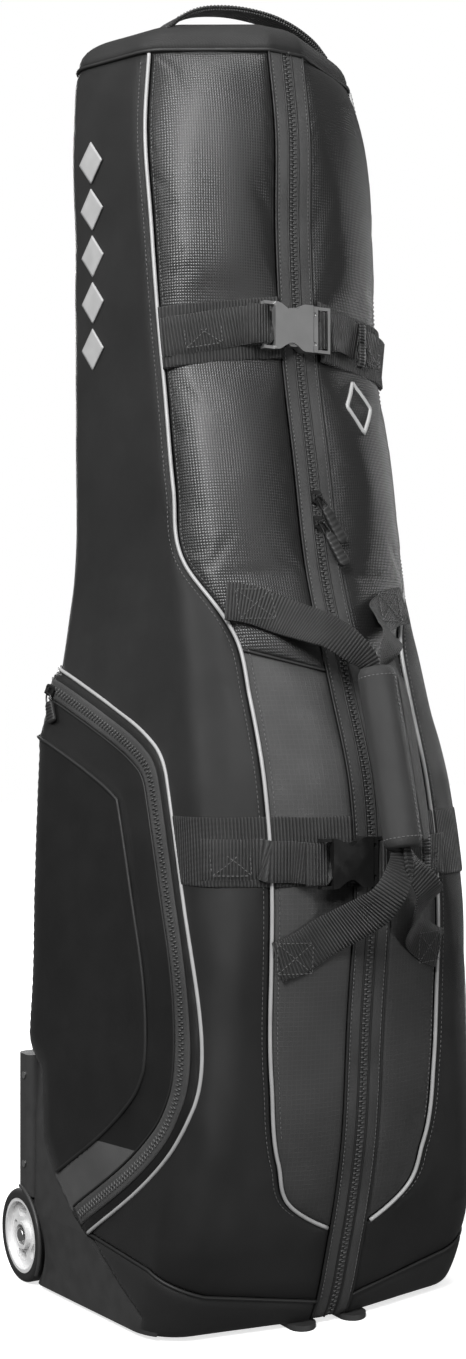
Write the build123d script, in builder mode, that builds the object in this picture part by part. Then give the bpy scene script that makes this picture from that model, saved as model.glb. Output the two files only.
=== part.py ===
"""A wheeled soft golf travel case, modelled piece by piece.

Millimetres, +Z up.  The case stands on its skid plate and two wheels with the
zipped front towards -Y.  The origin is the middle of the skid plate's flat
underside, below the axis of the bag.
"""
import os
from functools import cache

from build123d import *

os.makedirs("parts", exist_ok=True)

# ---------------------------------------------------------------- dimensions
# Bag body: one horizontal section per height.
# (height, nose_y, corner_x, corner_y, back_x, back_y)
SECTIONS = [
    (6, -86, 172, -62, 198, 165),
    (80, -114, 172, -96, 202, 165),
    (172, -137, 158, -114, 202, 165),
    (300, -149, 150, -118, 194, 165),
    (430, -160, 146, -114, 190, 165),
    (520, -152, 141, -96, 186, 165),
    (610, -120, 133, -70, 177, 165),
    (720, -79.5, 127, -42, 159, 165),
    (935, -36, 127, 6, 159, 165),
    (1060, -25, 129, 20, 160, 165),
    (1160, -24, 131, 36, 164, 165),
    (1238, -11, 120, 50, 164, 165),
    (1262, -1, 112, 58, 157, 160),
    (1278, 16, 98, 68, 143, 147),
    (1287, 45, 68, 82, 116, 120),
]
NOSE_HALF = 20          # half width of the flat nose that carries the main zip
NOSE_RADIUS = 12
CORNER_RADIUS = 48
BACK_RADIUS = 28
WALL = 8                # fabric, foam and lining together
GAP = 0.3               # clearance between neighbouring sewn pieces
CAP_SEAM = 1240         # where the top cap starts
BACK_SEAM = 148         # where the back panel starts
PAD_SEAM = 634          # between the padded upper and the plain lower front
BOOT_SEAM = [(20, 28), (130, 49), (178, 74), (240, 80)]
# Piped seam between front and sides, (half width, height) from the bottom up.
PIPING = [(24, 103), (60, 125), (82, 172), (92, 250), (94, 352), (92, 488), (92, 650),
          (124, 725), (125, 917), (128, 1060), (129, 1160), (118, CAP_SEAM)]
PIPING_RADIUS = 2.2

# Side pocket outline, (y, height), and wheel housing outline, both seen from the side.
POCKET_OUTLINE = [(165, 633), (123, 622), (39, 587), (-3, 568), (-37, 545), (-53, 505), (-76, 433),
                  (-101, 345), (-110, 250), (-91, 198), (-62, 163), (-20, 125), (47, 78), (165, 78)]
POCKET_DEPTH = 11
POCKET_WALL = 4
HOUSING_OUTLINE = [(-60, 6), (47, 78), (70, 92), (89, 112), (109, 137), (123, 160), (133, 226),
                   (143, 236), (178, 236), (178, 6)]

# Main zip
TAPE_HALF = 19.5
TAPE_TOP = 1237
COIL_HALF = 3.6
COIL_RISE = 2               # the coil stands this far off the bag's surface
TAPE_BACK = 2.6             # the tapes lie between these two depths below it
TAPE_FACE = 1
TRACK_TOP = (935, -36)      # straight stretch of the zip: (height, y) at its top
TRACK_FOOT = (720, -79.5)   # and at its foot
UPPER_SLIDER_Z = 793
LOWER_SLIDER_Z = 768
SLIDER_FLOOR = 0.3          # the slider runs this far off the tape
SLIDER_HOOD = 2.6           # room for the coil under the hood
PULL_AXIS = 6.6             # height of the pull's pin over the tape
PIN_RADIUS = 1.2
POCKET_TRACK = [(183.15, 140, 605.6), (172.6, 76, 579.5)]    # straight stretch of the pocket's zip
POCKET_OUTWARD = (1, -0.213, 0.112)                 # the pocket faces this way there

POCKET_ZIP_INSET = 18       # from the pocket's edge to its zip
POCKET_COIL = 6.2           # width of that zip's coil
POCKET_COIL_RISE = 1.8      # and how far it stands off the pocket
POCKET_ZIP_FOOT = 132       # height of the zip's lower end

# Base
TRAY_WALL = 3
TRAY_FLOOR = 5
TRAY_TOP = 58
SKID_X = 29
SKID_Y = 12
SKID_LENGTH = 222
SKID_WIDTH = 28
SKID_BRIDGE = 60
SKID_HEIGHT = 5.7
STIFFENER_Y = 156.4
STIFFENER_HALF = 128
STIFFENER_FOOT = 64
STIFFENER_TOP = 1180
TOP_FOAM = 12
TOP_FOAM_FOOT = 1190

# Wheels
WHEEL_Y = 177
WHEEL_Z = 47
WHEEL_RADIUS = 47
HUB_RADIUS = 38
WHEEL_IN = 178              # inner face, from the middle of the case
WHEEL_OUT = 203             # outer face
WELL_RADIUS = 52
HOUSING_IN = 168
NUT_IN = 159                # inner end of the axle bolt
HOUSING_OUT = 205
HOUSING_WALL = 6
HOUSING_SCREWS = [(160, 215), (160, 125)]
BEARING_X = [WHEEL_IN + 3, WHEEL_OUT - 5 - 7]
AXLE_RADIUS = 3.96          # M8 bolt running in 608 bearings
BOLT_HEAD = 3
BEARING_BORE = 8
BEARING_OD = 22
BEARING_WIDTH = 7

# Belts and buckles (38 mm webbing)
WEB = 38
WEB_THICK = 1.8
UPPER_BELT_Z = 960
LOWER_BELT_Z = 450
BUCKLE_HEIGHT = 46
BUCKLE_THICK = 11
SOCKET_LENGTH = 56
UPPER_BUCKLE_X = -48        # left end of the upper buckle
LOWER_BUCKLE_X = -64        # left end of the lower buckle
UPPER_BUCKLE_Y = -45        # middle plane of the upper buckle
LOWER_BUCKLE_Y = -169       # middle plane of the lower buckle

UPPER_LIE = 9.6             # the upright strap stands this far off the leaning front
LOWER_LIE = 8.4
UPPER_REACH = 110           # the straps are sewn down this far from the middle
LOWER_REACH = 86
BAND_HEIGHT = 58
BAND_RISE = 1.8             # outer face of the sewn band, off the bag's surface
BAND_INNER_X = 22           # the band stops here beside the zip
SEWN_REACH = 46             # from the socket's mouth to the sewn right strap
KEEPERS = [(98, UPPER_BELT_Z, UPPER_LIE), (74, LOWER_BELT_Z, LOWER_LIE)]    # x, height, stand-off
KEEPER_WIDTH = 8
CAVITY_HALF = 19
CAVITY_THICK = 6.8
PRONG_Z = 14.5              # height of each prong's pivot from the buckle's middle

# Carry handle
LOOP_X = 5
LOOP_DEPTH = 16
FLAP_AXIS_X = 20.2
WRAP_TOP = (0, -166, 628)
WRAP_FOOT = (4, -205, 464)
WRAP_WIDTH = 36
WRAP_DEPTH = 32
WRAP_LENGTH = 168
HANDLE_END_X = 76
HANDLE_UPPER_Z = 682        # sewn ends of the two webbing loops
HANDLE_LOWER_Z = 366

# Top handle
TOP_HANDLE_FOOT_X = 92
TOP_HANDLE_Y = 62
TOP_HANDLE_FOOT_Z = 1276
TOP_HANDLE_PEAK = 1301


def keep(part, name):
    """Label a finished piece and write it to its own file."""
    part.label = name
    export_step(part, f"parts/{name}.step")


# ------------------------------------------------------------ shared shapes
def section_at(height):
    """Interpolate the nose, corner and back positions at a height."""
    for low, high in zip(SECTIONS, SECTIONS[1:]):
        if low[0] <= height <= high[0]:
            share = (height - low[0]) / (high[0] - low[0])
            return [a + share * (b - a) for a, b in zip(low[1:], high[1:])]
    raise ValueError(height)


def front_y(x, height):
    """Y of the front face at a distance x from the middle."""
    nose_y, corner_x, corner_y, _, _ = section_at(height)
    share = max(0, (abs(x) - NOSE_HALF) / (corner_x - NOSE_HALF))
    return nose_y + share * (corner_y - nose_y)


@cache
def bag_loft(grow=0.0, bulge=0.0):
    """The bag's outside, grown outwards by grow; bulge widens it at the back, low down."""
    with BuildPart() as bag:
        for z, nose_y, corner_x, corner_y, back_x, back_y in SECTIONS:
            dome = max(0, z - CAP_SEAM) / (SECTIONS[-1][0] - CAP_SEAM)
            rear = back_x + (bulge if z < PAD_SEAM else 0)
            flank = corner_x + (bulge / 3 if z < PAD_SEAM else 0)
            with BuildSketch(Plane.XY.offset(z + grow * dome)):
                with BuildLine():
                    Polyline((-NOSE_HALF, nose_y), (NOSE_HALF, nose_y), (flank, corner_y),
                             (rear, back_y), (-rear, back_y), (-flank, corner_y), close=True)
                make_face()
                shrink = 1 - 0.6 * dome
                fillet(vertices().sort_by(Axis.Y)[:2], NOSE_RADIUS)
                fillet(vertices().sort_by(Axis.Y)[-2:], BACK_RADIUS * shrink)
                flanks = [v for v in vertices() if abs(abs(v.X) - flank) + abs(v.Y - corner_y) < 0.01]
                fillet(flanks, CORNER_RADIUS * shrink)
                if grow:
                    offset(amount=grow)
        loft(ruled=True)
    return bag.part


def front_prism(points, grow=0.0, y_from=-320, y_to=62):
    """A prism along Y over a closed outline of (x, height) points."""
    with BuildPart() as prism:
        with BuildSketch(Plane.XZ.offset(-y_to)):
            with BuildLine():
                Polyline(*points, close=True)
            make_face()
            if grow:
                offset(amount=grow, kind=Kind.INTERSECTION)
        extrude(amount=y_to - y_from)
    return prism.part


def side_prism(points, x_from, x_to, grow=0.0):
    """A prism along X over a closed outline of (y, height) points."""
    with BuildPart() as prism:
        with BuildSketch(Plane.YZ.offset(x_from)):
            with BuildLine():
                Polyline(*points, close=True)
            make_face()
            if grow:
                offset(amount=grow, kind=Kind.INTERSECTION)
        extrude(amount=x_to - x_from)
    return prism.part


def slab(x, y, z):
    """A block between two corners, given as (low, high) pairs."""
    with BuildPart() as block:
        with Locations(((x[0] + x[1]) / 2, (y[0] + y[1]) / 2, (z[0] + z[1]) / 2)):
            Box(x[1] - x[0], y[1] - y[0], z[1] - z[0])
    return block.part


def ribbon(points, height, thick=WEB_THICK, tall=WEB):
    """Webbing standing on edge round a mid height, following a plan line of points."""
    with BuildPart() as web:
        with BuildSketch(Plane.XY.offset(height - tall / 2)):
            with BuildLine() as line:
                Polyline(*points)
            trace(line.line, thick)
        extrude(amount=tall)
    return web.part


def strip(start, end, wide, thick):
    """A straight flat strip between two points, its broad face turned to the front."""
    along = Vector(*end) - Vector(*start)
    across = along.cross(Vector(0, -1, 0)).normalized()
    with BuildPart() as web:
        with BuildSketch(Plane(origin=start, x_dir=across, z_dir=along)):
            Rectangle(wide, thick)
        extrude(amount=along.length)
    return web.part


def mirrored(part):
    """The same piece on the other side of the case."""
    return mirror(part, about=Plane.YZ)


def both_sides(points):
    """A closed outline from its right-hand points, mirrored to the left."""
    return points + [(-x, z) for x, z in reversed(points)]


FAR = 1400              # reach of cutting shapes beyond the case
OUTER = bag_loft()
INNER = bag_loft(-WALL)
SHELL = OUTER - INNER
FRONT_ZONE = front_prism(both_sides(PIPING))
BOOT_ZONE = front_prism(both_sides([(240, -20)] + BOOT_SEAM[::-1]), 0, -FAR, FAR)
TAPE_ZONE = slab((-NOSE_HALF - 0.6, NOSE_HALF + 0.6), (-FAR, 62), (-FAR, CAP_SEAM))
HOUSING_ZONE = side_prism(HOUSING_OUTLINE, HOUSING_IN - GAP, FAR, GAP)
LEFT_HOUSING_ZONE = side_prism(HOUSING_OUTLINE, -FAR, GAP - HOUSING_IN, GAP)


# ------------------------------------------------------------- sewn shell
def sewn(zone, *cuts):
    """A panel of the shell: the wall inside a zone, less its neighbours."""
    with BuildPart() as panel:
        add(SHELL)
        add(zone, mode=Mode.INTERSECT)
        for cut in cuts:
            add(cut, mode=Mode.SUBTRACT)
    return panel.part


right_side = slab((0, FAR), (-FAR, BACK_SEAM), (-FAR, CAP_SEAM - GAP))
with BuildPart() as right_side_panel:
    add(sewn(right_side, front_prism(both_sides(PIPING), GAP), TAPE_ZONE, BOOT_ZONE, HOUSING_ZONE))
keep(right_side_panel.part, "right_side_panel")
keep(mirrored(right_side_panel.part), "left_side_panel")

with BuildPart() as back_panel:
    add(sewn(slab((-FAR, FAR), (BACK_SEAM + GAP, FAR), (-FAR, CAP_SEAM - GAP)), BOOT_ZONE,
             HOUSING_ZONE, LEFT_HOUSING_ZONE))
keep(back_panel.part, "back_panel")

with BuildPart() as right_upper_pad:
    add(sewn(FRONT_ZONE, TAPE_ZONE, slab((-FAR, 0), (-FAR, FAR), (-FAR, FAR)),
             slab((-FAR, FAR), (-FAR, FAR), (-FAR, PAD_SEAM))))
keep(right_upper_pad.part, "right_upper_pad")
keep(mirrored(right_upper_pad.part), "left_upper_pad")

with BuildPart() as right_front_panel:
    add(sewn(FRONT_ZONE, TAPE_ZONE, BOOT_ZONE, slab((-FAR, 0), (-FAR, FAR), (-FAR, FAR)),
             slab((-FAR, FAR), (-FAR, FAR), (PAD_SEAM - GAP, FAR))))
keep(right_front_panel.part, "right_front_panel")
keep(mirrored(right_front_panel.part), "left_front_panel")

with BuildPart() as top_cap:
    add(sewn(slab((-FAR, FAR), (-FAR, FAR), (CAP_SEAM, FAR))))
keep(top_cap.part, "top_cap")

with BuildPart() as base_boot:
    add(sewn(BOOT_ZONE, TAPE_ZONE, HOUSING_ZONE, LEFT_HOUSING_ZONE))
keep(base_boot.part, "base_boot")


def skin(low, high, zone, bulge=0.0):
    """A thin layer lying between two offsets of the bag's outside, inside a zone."""
    with BuildPart() as layer:
        add(bag_loft(high, bulge))
        add(bag_loft(low, bulge), mode=Mode.SUBTRACT)
        add(zone, mode=Mode.INTERSECT)
    return layer.part


# Piping: a cord over the seam between front and sides, one each side.
with BuildPart() as right_piping:
    seam = PIPING[::-1]
    cord = [(x - PIPING_RADIUS, z) for x, z in seam] + [(x + PIPING_RADIUS, z) for x, z in PIPING]
    add(skin(GAP, GAP + 2 * PIPING_RADIUS, front_prism(cord)))
with BuildPart() as body_piping:
    add(right_piping.part)
    add(mirrored(right_piping.part))
keep(body_piping.part, "body_piping")

# Zip: two tapes with the coil over their meeting edges.
with BuildPart() as zipper_tapes:
    for low, high in ((-TAPE_HALF, -GAP), (GAP, TAPE_HALF)):
        add(skin(-TAPE_BACK, -TAPE_FACE, slab((low, high), (-FAR, 62), (12, TAPE_TOP))))
keep(zipper_tapes.part, "zipper_tapes")

with BuildPart() as zipper_coil:
    add(skin(0.2 - TAPE_FACE, COIL_RISE, slab((-COIL_HALF, COIL_HALF), (-FAR, 62), (14, TAPE_TOP - 2))))
keep(zipper_coil.part, "zipper_coil")


# ----------------------------------------------------------- side pockets
POCKET_ZONE = slab((0, FAR), (-FAR, BACK_SEAM + 4), (-FAR, FAR))
with BuildPart() as pocket_room:
    add(bag_loft(-POCKET_WALL, POCKET_DEPTH))
    add(side_prism(POCKET_OUTLINE, 100, FAR, -3 * POCKET_WALL), mode=Mode.INTERSECT)
with BuildPart() as right_pocket:
    add(bag_loft(0, POCKET_DEPTH))
    add(side_prism(POCKET_OUTLINE, 100, FAR), mode=Mode.INTERSECT)
    add(POCKET_ZONE, mode=Mode.INTERSECT)
    add(pocket_room.part, mode=Mode.SUBTRACT)
    add(bag_loft(GAP), mode=Mode.SUBTRACT)
    add(HOUSING_ZONE, mode=Mode.SUBTRACT)
keep(right_pocket.part, "right_pocket")
keep(mirrored(right_pocket.part), "left_pocket")

# The pocket's zip runs parallel to its edge, down the front of the pocket.
with BuildPart() as right_pocket_zip:
    add(bag_loft(POCKET_COIL_RISE, POCKET_DEPTH))
    add(bag_loft(GAP, POCKET_DEPTH), mode=Mode.SUBTRACT)
    add(side_prism(POCKET_OUTLINE, 100, FAR, -POCKET_ZIP_INSET), mode=Mode.INTERSECT)
    add(side_prism(POCKET_OUTLINE, 100, FAR, -POCKET_ZIP_INSET - POCKET_COIL), mode=Mode.SUBTRACT)
    add(slab((0, FAR), (-FAR, 140), (POCKET_ZIP_FOOT, FAR)), mode=Mode.INTERSECT)
    add(HOUSING_ZONE, mode=Mode.SUBTRACT)
with BuildPart() as pocket_zippers:
    add(right_pocket_zip.part)
    add(mirrored(right_pocket_zip.part))
keep(pocket_zippers.part, "pocket_zippers")

# ------------------------------------------------------------ base and feet
NUT_ROOM = side_prism(HOUSING_OUTLINE, NUT_IN - 3, FAR, GAP)
LEFT_NUT_ROOM = side_prism(HOUSING_OUTLINE, -FAR, 3 - NUT_IN, GAP)
with BuildPart() as tray_room:
    add(bag_loft(-WALL - GAP - TRAY_WALL))
    add(slab((-FAR, FAR), (-FAR, FAR), (6 + TRAY_FLOOR, FAR)), mode=Mode.INTERSECT)
with BuildPart() as base_tray:
    add(bag_loft(-WALL - GAP))
    add(tray_room.part, mode=Mode.SUBTRACT)
    add(slab((-FAR, FAR), (-FAR, FAR), (6, TRAY_TOP)), mode=Mode.INTERSECT)
    add(NUT_ROOM, mode=Mode.SUBTRACT)
    add(LEFT_NUT_ROOM, mode=Mode.SUBTRACT)
keep(base_tray.part, "base_tray")

with BuildPart() as skid_plate:
    with BuildSketch():
        with Locations((-SKID_X, SKID_Y), (SKID_X, SKID_Y)):
            SlotOverall(SKID_LENGTH, SKID_WIDTH, rotation=90)
        Rectangle(2 * SKID_X, SKID_BRIDGE)
    extrude(amount=SKID_HEIGHT)
    chamfer(skid_plate.faces().sort_by(Axis.Z)[0].outer_wire().edges(), 1)
keep(skid_plate.part, "skid_plate")

with BuildPart() as back_stiffener:
    with BuildSketch(Plane.XZ.offset(-STIFFENER_Y)):
        with Locations((0, (STIFFENER_FOOT + STIFFENER_TOP) / 2)):
            RectangleRounded(2 * STIFFENER_HALF, STIFFENER_TOP - STIFFENER_FOOT, 40)
    extrude(amount=3)
keep(back_stiffener.part, "back_stiffener")

with BuildPart() as top_padding:
    add(bag_loft(-WALL - GAP))
    add(bag_loft(-WALL - GAP - TOP_FOAM), mode=Mode.SUBTRACT)
    add(slab((-FAR, FAR), (-FAR, FAR), (TOP_FOAM_FOOT, FAR)), mode=Mode.INTERSECT)
keep(top_padding.part, "top_padding")

with BuildPart() as inner_straps:
    for height in (320, 860):
        half = section_at(height)[1] - WALL - 12
        add(ribbon([(-110, 150), (-half, 110), (-half, 30)], height))
        add(ribbon([(110, 150), (half, 110), (half, 30)], height))
keep(inner_straps.part, "inner_straps")

# ---------------------------------------------------------------- wheels
def wheel_plane(x):
    """A plane across the right wheel's axle at a distance x from the middle."""
    return Plane((x, WHEEL_Y, WHEEL_Z), x_dir=(0, 1, 0), z_dir=(1, 0, 0))


def disc(x_from, x_to, radius):
    """A cylinder on the right wheel's axle."""
    with BuildPart() as round_block:
        with BuildSketch(wheel_plane(x_from)):
            Circle(radius)
        extrude(amount=x_to - x_from)
    return round_block.part


with BuildPart() as heel:
    with BuildSketch(Plane.XY.offset(6)):
        with Locations(((HOUSING_IN + HOUSING_OUT) / 2, 164)):
            RectangleRounded(HOUSING_OUT - HOUSING_IN, 28, 9)
    extrude(amount=230)
with BuildPart() as housing_room:
    add(bag_loft(3 - HOUSING_WALL))
    add(side_prism(HOUSING_OUTLINE, HOUSING_IN + HOUSING_WALL, FAR, -HOUSING_WALL), mode=Mode.INTERSECT)
    add(disc(HOUSING_IN, FAR, WELL_RADIUS + HOUSING_WALL), mode=Mode.SUBTRACT)
with BuildPart() as right_wheel_housing:
    add(bag_loft(3))
    add(heel.part)
    add(side_prism(HOUSING_OUTLINE, HOUSING_IN, FAR), mode=Mode.INTERSECT)
    add(housing_room.part, mode=Mode.SUBTRACT)
    add(disc(HOUSING_IN + HOUSING_WALL, FAR, WELL_RADIUS), mode=Mode.SUBTRACT)
    with Locations(wheel_plane(HOUSING_IN)):
        Hole(AXLE_RADIUS + 0.05)
    with Locations(*[Plane.YZ.offset(HOUSING_OUT) * Location((y, z, 0)) for y, z in HOUSING_SCREWS]):
        Hole(1.6)
keep(right_wheel_housing.part, "right_wheel_housing")
keep(mirrored(right_wheel_housing.part), "left_wheel_housing")


def across(name, right):
    """Write a piece that both sides have as one group of separate solids."""
    keep(Compound([right, mirrored(right)]), name)


with BuildPart() as bolt:
    add(disc(NUT_IN, WHEEL_OUT - BOLT_HEAD, AXLE_RADIUS))
    add(disc(WHEEL_OUT - BOLT_HEAD, WHEEL_OUT, 7))
    fillet(bolt.edges().filter_by(GeomType.CIRCLE).sort_by(Axis.X)[-1], 1.5)
across("wheel_axles", bolt.part)

with BuildPart() as nut:
    with BuildSketch(wheel_plane(NUT_IN + 1.5)):
        RegularPolygon(7.5, 6)
        Circle(AXLE_RADIUS + 0.05, mode=Mode.SUBTRACT)
    extrude(amount=7)
across("axle_nuts", nut.part)

with BuildPart() as screw:
    for y, z in HOUSING_SCREWS:
        with BuildSketch(Plane.YZ.offset(HOUSING_OUT)):
            with Locations((y, z)):
                Circle(3.6)
        extrude(amount=1.4)
        with BuildSketch(Plane.YZ.offset(HOUSING_OUT - 14)):
            with Locations((y, z)):
                Circle(1.5)
        extrude(amount=14)
across("housing_screws", screw.part)

with BuildPart() as right_bearings:
    for x in BEARING_X:
        with BuildSketch(wheel_plane(x)):
            Circle(BEARING_OD / 2)
            Circle(BEARING_BORE / 2, mode=Mode.SUBTRACT)
        extrude(amount=BEARING_WIDTH)
keep(right_bearings.part, "right_bearings")
keep(mirrored(right_bearings.part), "left_bearings")

with BuildPart() as right_hub:
    add(disc(WHEEL_IN + 1, WHEEL_OUT - 1, HUB_RADIUS - 0.05))
    add(disc(WHEEL_OUT - 7, FAR, HUB_RADIUS - 4), mode=Mode.SUBTRACT)
    add(disc(-FAR, WHEEL_IN + 7, HUB_RADIUS - 4), mode=Mode.SUBTRACT)
    add(disc(WHEEL_IN + 1, WHEEL_OUT - 1.5, 14))
    with BuildSketch(wheel_plane(WHEEL_IN)):
        with PolarLocations(23, 5):
            SlotCenterToCenter(9, 10, rotation=90)
    extrude(amount=WHEEL_OUT - WHEEL_IN, mode=Mode.SUBTRACT)
    add(disc(-FAR, FAR, 8), mode=Mode.SUBTRACT)
    for x in BEARING_X:
        add(disc(x, x + BEARING_WIDTH, BEARING_OD / 2 + 0.01), mode=Mode.SUBTRACT)
    add(disc(WHEEL_OUT - 5, FAR, BEARING_OD / 2 + 0.01), mode=Mode.SUBTRACT)
    add(disc(-FAR, WHEEL_IN + 3, BEARING_OD / 2 + 0.01), mode=Mode.SUBTRACT)
    fillet(right_hub.edges().filter_by(GeomType.CIRCLE).sort_by(Axis.X)[-1], 0.8)
keep(right_hub.part, "right_hub")
keep(mirrored(right_hub.part), "left_hub")

with BuildPart() as right_tyre:
    add(disc(WHEEL_IN, WHEEL_OUT, WHEEL_RADIUS))
    add(disc(-FAR, FAR, HUB_RADIUS), mode=Mode.SUBTRACT)
    rims = right_tyre.edges().filter_by(GeomType.CIRCLE).filter_by(lambda e: e.radius > HUB_RADIUS + 1)
    fillet(rims, 5)
keep(right_tyre.part, "right_tyre")
keep(mirrored(right_tyre.part), "left_tyre")


# ------------------------------------------------------- zip sliders and pulls
def zip_slider(plane):
    """A slider that straddles a coil: hood, two skirts and two ears for the pull."""
    with BuildPart() as slider:
        with BuildSketch(plane.offset(SLIDER_FLOOR)):
            RectangleRounded(11, 13, 3)
        extrude(amount=SLIDER_HOOD + 1.4)
        with BuildSketch(plane.offset(SLIDER_FLOOR)):
            Rectangle(2 * COIL_HALF + 1, 20)
        extrude(amount=SLIDER_HOOD, mode=Mode.SUBTRACT)
        for x in (-3.1, 3.1):
            with BuildSketch(Plane(plane.from_local_coords((x - 0.9, 0, 0)), x_dir=plane.y_dir,
                                   z_dir=plane.x_dir)):
                with Locations((0, SLIDER_FLOOR + SLIDER_HOOD + 2.2)):
                    Rectangle(5, 5)
                with Locations((0, PULL_AXIS)):
                    Circle(PIN_RADIUS + 0.06, mode=Mode.SUBTRACT)
            extrude(amount=1.8)
    return slider.part


def zip_pull(plane, lean, length):
    """A pull tab on a cross pin, leaning sideways by some millimetres at its tip."""
    with BuildPart() as pull:
        with BuildSketch(Plane(plane.from_local_coords((-4.2, 0, 0)), x_dir=plane.y_dir,
                               z_dir=plane.x_dir)):
            with Locations((0, PULL_AXIS)):
                Circle(PIN_RADIUS)
        extrude(amount=8.4)
        with BuildSketch(Plane(plane.from_local_coords((-1.9, 0, 0)), x_dir=plane.y_dir,
                               z_dir=plane.x_dir)):
            with Locations((0, PULL_AXIS)):
                Circle(2.2)
        extrude(amount=3.8)
        with BuildSketch(plane.offset(PULL_AXIS - 1)):
            with BuildLine():
                Polyline((-1.9, 0), (1.9, 0), (1.9, -4), (lean * 0.4 + 4.5, -length * 0.4),
                         (lean + 4.5, -length), (lean - 4.5, -length),
                         (lean * 0.4 - 4.5, -length * 0.4), (-1.9, -4), close=True)
            make_face()
        extrude(amount=2)
    return pull.part


def track_plane(height):
    """Frame on the straight stretch of the main zip: y up the track, z outwards."""
    rise = (TRACK_TOP[1] - TRACK_FOOT[1]) / (TRACK_TOP[0] - TRACK_FOOT[0])
    middle = Vector(0, TRACK_FOOT[1] + rise * (height - TRACK_FOOT[0]), height)
    return Plane(middle, x_dir=(1, 0, 0), z_dir=(0, -1, rise))


keep(zip_slider(track_plane(UPPER_SLIDER_Z)), "upper_slider")
keep(zip_slider(track_plane(LOWER_SLIDER_Z)), "lower_slider")
keep(zip_pull(track_plane(UPPER_SLIDER_Z), 24, 44), "upper_pull")
keep(zip_pull(track_plane(LOWER_SLIDER_Z), 20, 42), "lower_pull")

# Pocket slider: its frame has y up and back along the zip, z out of the pocket.
start = Vector(*POCKET_TRACK[0])
along = start - Vector(*POCKET_TRACK[1])
outward = Vector(*POCKET_OUTWARD)
pocket_plane = Plane(start, x_dir=along.cross(outward), z_dir=outward)
right_pocket_slider = zip_slider(pocket_plane)
keep(right_pocket_slider, "right_pocket_slider")
keep(mirrored(right_pocket_slider), "left_pocket_slider")
right_pocket_pull = zip_pull(pocket_plane, 26, 22)
keep(right_pocket_pull, "right_pocket_pull")
keep(mirrored(right_pocket_pull), "left_pocket_pull")


# ------------------------------------------------------- belts and buckles
def belt_band(height, name):
    """The wide band sewn across both front panels, one piece each side of the zip."""
    foot = height - BAND_HEIGHT / 2
    top = height + BAND_HEIGHT / 2
    reach = section_at(height)[1] - 8 if height > PAD_SEAM else 88
    with BuildPart() as right:
        add(skin(GAP, BAND_RISE, front_prism([(BAND_INNER_X, foot), (reach, foot), (reach, top),
                                              (BAND_INNER_X, top)])))
    across(name, right.part)


belt_band(UPPER_BELT_Z, "upper_band")
belt_band(LOWER_BELT_Z, "lower_band")


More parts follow.
